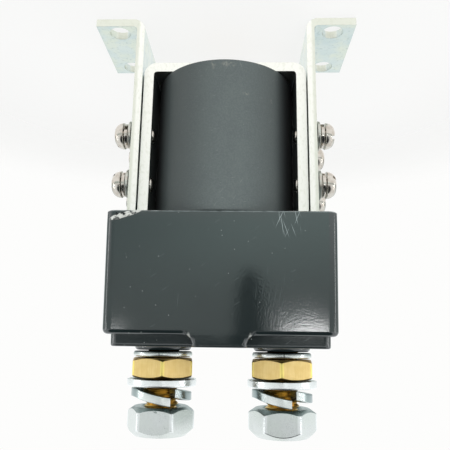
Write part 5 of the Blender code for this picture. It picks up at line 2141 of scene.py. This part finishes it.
@dataclass
class Studio:
    """Pale floor, soft light and the photo's camera.

    The camera was fitted to straight edges in the photo: its axes are given as
    the directions of the picture's right, up and backwards.
    """

    location: Point = (-5.83 * MM, -158.21 * MM, 98.51 * MM)
    right: Point = (-0.99939, 0.03178, -0.01414)
    up: Point = (0.00675, -0.22152, -0.97514)
    back: Point = (-0.03413, -0.97464, 0.22116)
    lens: float = 41.65
    sensor: float = 36.0
    backdrop: str = "#FDFDFC"
    paper_lift: float = 0.82
    ambient: float = 0.2
    gloss: float = 1.4
    # Direction, narrowness and strength of the light from each side.
    glow: tuple = (
        ((0.0, -1.0, 0.0), 3.0, 1.5),
        ((0.0, 1.0, 0.0), 2.0, 1.0),
        ((-1.0, 0.0, 0.0), 2.0, 0.3),
        ((1.0, 0.0, 0.0), 2.0, 0.3),
        ((0.0, 0.0, 1.0), 2.0, 0.5),
    )
    disc: float = 0.3
    # Half widths, half heights and places of the cards, in millimetres.
    cards: tuple = (
        ("upright_card", 7.8, 29.0, -9.6, 94.0),
        ("level_card", 140.0, 5.0, -5.0, 110.0),
        ("short_card", 26.0, 1.6, 2.0, 103.2),
    )
    # Directions of the room's parts, the cosines where each begins and is full, its colour.
    room: tuple = (
        ((0.0, 1.0, 0.0), 0.1, 0.8, "#E2E8E8"),
        ((0.75, 0.66, 0.0), 0.8, 0.97, "#828D90"),
        ((-0.75, 0.66, 0.0), 0.8, 0.97, "#828D90"),
        ((0.0, -1.0, -0.1), 0.9, 0.98, "#D6EDE9"),
        ((0.5, -0.76, -0.42), 0.8, 0.96, "#9CADAC"),
        ((0.0, 0.0, 1.0), -0.22, -0.02, "#A9B2B0"),
        ((0.0, 0.0, 1.0), 0.03, 0.08, "#E6E9EA"),
        ((0.0, -0.61, 0.79), 0.68, 0.86, "#1C2022"),
    )

    def build(self) -> None:
        """Set the camera, the floor, the world and the lamps."""
        bpy.context.scene.view_settings.view_transform = "Standard"
        self._camera()
        self._floor()
        self._cards()
        self._world()
        self._lamp("softbox", (-0.1, -0.65, 0.62), 0.5, 0.4, 1.4)
        self._lamp("rear_softbox", (-0.6, 0.55, 0.5), 0.5, 0.4, 1.2)
        self._lamp("spot", (-0.066, -0.37, 0.102), 0.04, 0.008, 0.021, True)
        self._lamp("glint", (0.111, -0.369, 0.103), 0.006, 0.01, 0.002, True)
        for side in Side:
            word, x = side.word, side.value
            self._lamp(f"{word}_strip", (0.5 * x, -0.05, 0.12), 0.04, 0.3, 0.14, True)
            self._lamp(f"{word}_glint", (0.47 * x, -0.17, 0.122), 0.02, 0.05, 0.03, True)

    def _camera(self) -> None:
        """Place the camera by its three axes."""
        data = bpy.data.cameras.new("photo_camera")
        data.sensor_width = self.sensor
        data.lens = self.lens
        data.clip_start, data.clip_end = 0.005, 20.0
        camera = bpy.data.objects.new("photo_camera", data)
        columns = [Vector(axis).normalized() for axis in (self.right, self.up, self.back)]
        turn = Matrix(columns).transposed()
        camera.matrix_world = Matrix.Translation(self.location) @ turn.to_4x4()
        bpy.context.scene.collection.objects.link(camera)
        bpy.context.scene.camera = camera

    def _floor(self) -> None:
        """Lay a pale floor that keeps the shadow and fades into the background."""
        floor = draw_along("floor", circle(self.disc, 96), Axis.Z, -2.0 * MM, -0.02 * MM)
        floor.data.materials.append(self._paper())

    def _paper(self) -> Material:
        """Make white paper, plain to the camera and to mirrors, that keeps a shadow and fades out.

        Returns:
            The floor's material.
        """
        material = bpy.data.materials.new("floor_paper")
        material.use_nodes = True
        tree = material.node_tree
        tree.nodes.clear()
        place = add_node(tree, "ShaderNodeTexCoord").outputs["Object"]
        values = {"operation": "LENGTH", 0: place}
        length = work_out(tree, "ShaderNodeVectorMath", values, "Value")
        rays = add_node(tree, "ShaderNodeLightPath").outputs
        camera, mirror = (Value(tree, rays[name]) for name in ("Is Camera Ray", "Is Glossy Ray"))
        paper = work_out(tree, "ShaderNodeBsdfDiffuse", {"Color": linear("#F6F6F5")})
        values = {"Color": linear(self.backdrop), "Strength": mirror * 0.3 + 1.0}
        white = work_out(tree, "ShaderNodeEmission", values)
        lift = camera.reckon("MAXIMUM", mirror) * self.paper_lift
        lit = work_out(tree, "ShaderNodeMixShader", {0: lift, 1: paper, 2: white})
        clear = work_out(tree, "ShaderNodeBsdfTransparent", {})
        values = {"interpolation_type": "SMOOTHSTEP", "Value": length, 1: 0.06, 2: 0.2, 3: 0.0, 4: 1.0}
        share = work_out(tree, "ShaderNodeMapRange", values) * camera
        mix = work_out(tree, "ShaderNodeMixShader", {0: share, 1: lit, 2: clear})
        add_node(tree, "ShaderNodeOutputMaterial", {"Surface": mix})
        return material

    def _cards(self) -> None:
        """Hang three dark cards beside the camera, which the block's front mirrors."""
        material = bpy.data.materials.new("dark_card")
        material.use_nodes = True
        material.node_tree.nodes["Principled BSDF"].inputs["Base Color"].default_value = linear("#1C1E20")
        for name, half_x, half_z, x, z in self.cards:
            outline = [((x + half_x * u) * MM, (z + half_z * v) * MM) for u, v in circle(1.0, 64)]
            card = draw_along(name, outline, Axis.Y, -160.0 * MM, -158.0 * MM)
            card.data.materials.append(material)
            card.visible_camera = False
            card.visible_diffuse = False
            card.visible_shadow = False

    def _world(self) -> None:
        """Light from all around, white to the camera, with a shaded room for metals to mirror."""
        world = bpy.data.worlds.new("studio")
        bpy.context.scene.world = world
        world.use_nodes = True
        tree = world.node_tree
        tree.nodes.clear()
        rays = add_node(tree, "ShaderNodeLightPath").outputs
        towards = add_node(tree, "ShaderNodeTexCoord").outputs["Generated"]
        room = add_node(tree, "ShaderNodeRGB").outputs[0]
        room.default_value = linear("#E4E8E9")
        for centre, start, end, colour in self.room:
            values = {"operation": "DOT_PRODUCT", 0: towards, 1: centre}
            near = work_out(tree, "ShaderNodeVectorMath", values, "Value")
            values = {"interpolation_type": "SMOOTHSTEP", "Value": near, 1: start, 2: end, 3: 0.0, 4: 1.0}
            share = work_out(tree, "ShaderNodeMapRange", values)
            values = {"data_type": "RGBA", 0: share, 6: room, 7: linear(colour)}
            room = work_out(tree, "ShaderNodeMix", values, 2)
        glossy = work_out(tree, "ShaderNodeBackground", {"Strength": self.gloss, "Color": room})
        level = self.ambient
        for centre, narrowness, strength in self.glow:
            values = {"operation": "DOT_PRODUCT", 0: towards, 1: centre}
            near = work_out(tree, "ShaderNodeVectorMath", values, "Value")
            level = near.reckon("MAXIMUM", 0.0).reckon("POWER", narrowness) * strength + level
        values = {"Color": linear("#F7F9FA"), "Strength": level}
        soft = work_out(tree, "ShaderNodeBackground", values)
        values = {"Color": linear(self.backdrop), "Strength": 1.0}
        seen = work_out(tree, "ShaderNodeBackground", values)
        lit = work_out(tree, "ShaderNodeMixShader", {0: rays["Is Glossy Ray"], 1: soft, 2: glossy})
        shown = work_out(tree, "ShaderNodeMixShader", {0: rays["Is Camera Ray"], 1: lit, 2: seen})
        add_node(tree, "ShaderNodeOutputWorld", {"Surface": shown})

    def _lamp(
        self, name: str, place: Point, width: float, height: float, watts: float, mirrored: bool = False
    ) -> None:
        """Hang a soft lamp that faces the object's middle.

        Args:
            name: Name of the lamp.
            place: Where it hangs.
            width: Width of its face.
            height: Height of its face.
            watts: Power.
            mirrored: Whether metals and gloss mirror it.
        """
        data = bpy.data.lights.new(name, "AREA")
        data.shape = "RECTANGLE"
        data.size, data.size_y = width, height
        data.energy = watts
        lamp = bpy.data.objects.new(name, data)
        aim = Vector((0.0, 0.0, 0.07)) - Vector(place)
        lamp.matrix_world = Matrix.Translation(place) @ aim.to_track_quat("-Z", "Y").to_matrix().to_4x4()
        lamp.visible_glossy = mirrored
        bpy.context.scene.collection.objects.link(lamp)


TERMINALS = Terminals()
FASTENERS = BracketFasteners()

FINISHES: dict[str, Finish] = {
    "strip": ZincPlate("zinc_strip", "zinc_plate", "#CFD8D4", 0.28, 1.0),
    "small washer": NickelPlate("zinc_washer", "zinc_plate", "#C3C6BF", 0.28, 1.0),
    "fastener": PlatedFastener("zinc_fastener", "zinc_plate", "#DADDDC", 0.22, 1.0),
    # The spring washers' sideways faces get a dark teal painted shade and reflection.
    "spring washer": PlatedFastener("zinc_spring", "zinc_plate", "#E3E6E5", 0.2, 1.0, sides="#557377"),
    "nickel": NickelPlate("bright_nickel", "nickel_plate", "#CBC6BE", 0.14, 1.0),
    "plate": ZincPlate("plated_plate", "plated_steel", "#C4CACB", 0.36, 1.0, sheared=None),
    "turned": TurnedSteel("turned_iron", "plated_steel", "#B5B3AE", 0.3, 1.0),
    "wire": DrawnWire("spring_wire", "spring_steel", "#7B7D82", 0.28, 1.0),
    "stud": DrawnBrass(
        "threaded_brass", "brass", "#EACB80", 0.34, 1.0, corner_radius=20.0, grain=0.4, tarnish="#DAB464"
    ),
    "brass nut": DrawnBrass("drawn_brass", "brass", "#F1D494", 0.34, 1.0, shade="#E4C37B"),
    "tube": DrawnBrass("brass_tube", "brass", "#D4AA5C", 0.24, 1.0, corner_radius=40.0, grain=0.3),
    "copper": RolledCopper("rolled_copper", "copper", "#D08A63", 0.32, 1.0),
    "winding": RolledCopper("enamelled_copper", "copper", "#B4572C", 0.25, 1.0, turn_pitch=0.5),
    "tin": TinPlate("dull_tin", "tin_plate", "#CFCFCA", 0.34, 1.0),
    "nylon": MouldedNylon("natural_nylon", "nylon", "#DDD8C6", 0.42, ior=1.53),
    "block": GlossMoulding("pressed_thermoset", "block_plastic", "#161E1F", 0.1, ior=1.84),
    "jacket": MatteMoulding("blasted_polyester", "jacket_plastic", "#565F5F", 0.5, ior=1.5),
}


def main() -> None:
    """Build the studio and every sub-assembly."""
    for part in (
        Studio(),
        YokeFrame(),
        MountingBracket(Side.LEFT),
        MountingBracket(Side.RIGHT),
        FASTENERS,
        CoilAssembly(),
        ContactBlock(),
        TERMINALS,
        Mechanism(),
    ):
        part.build()


if __name__ == "__main__":
    main()
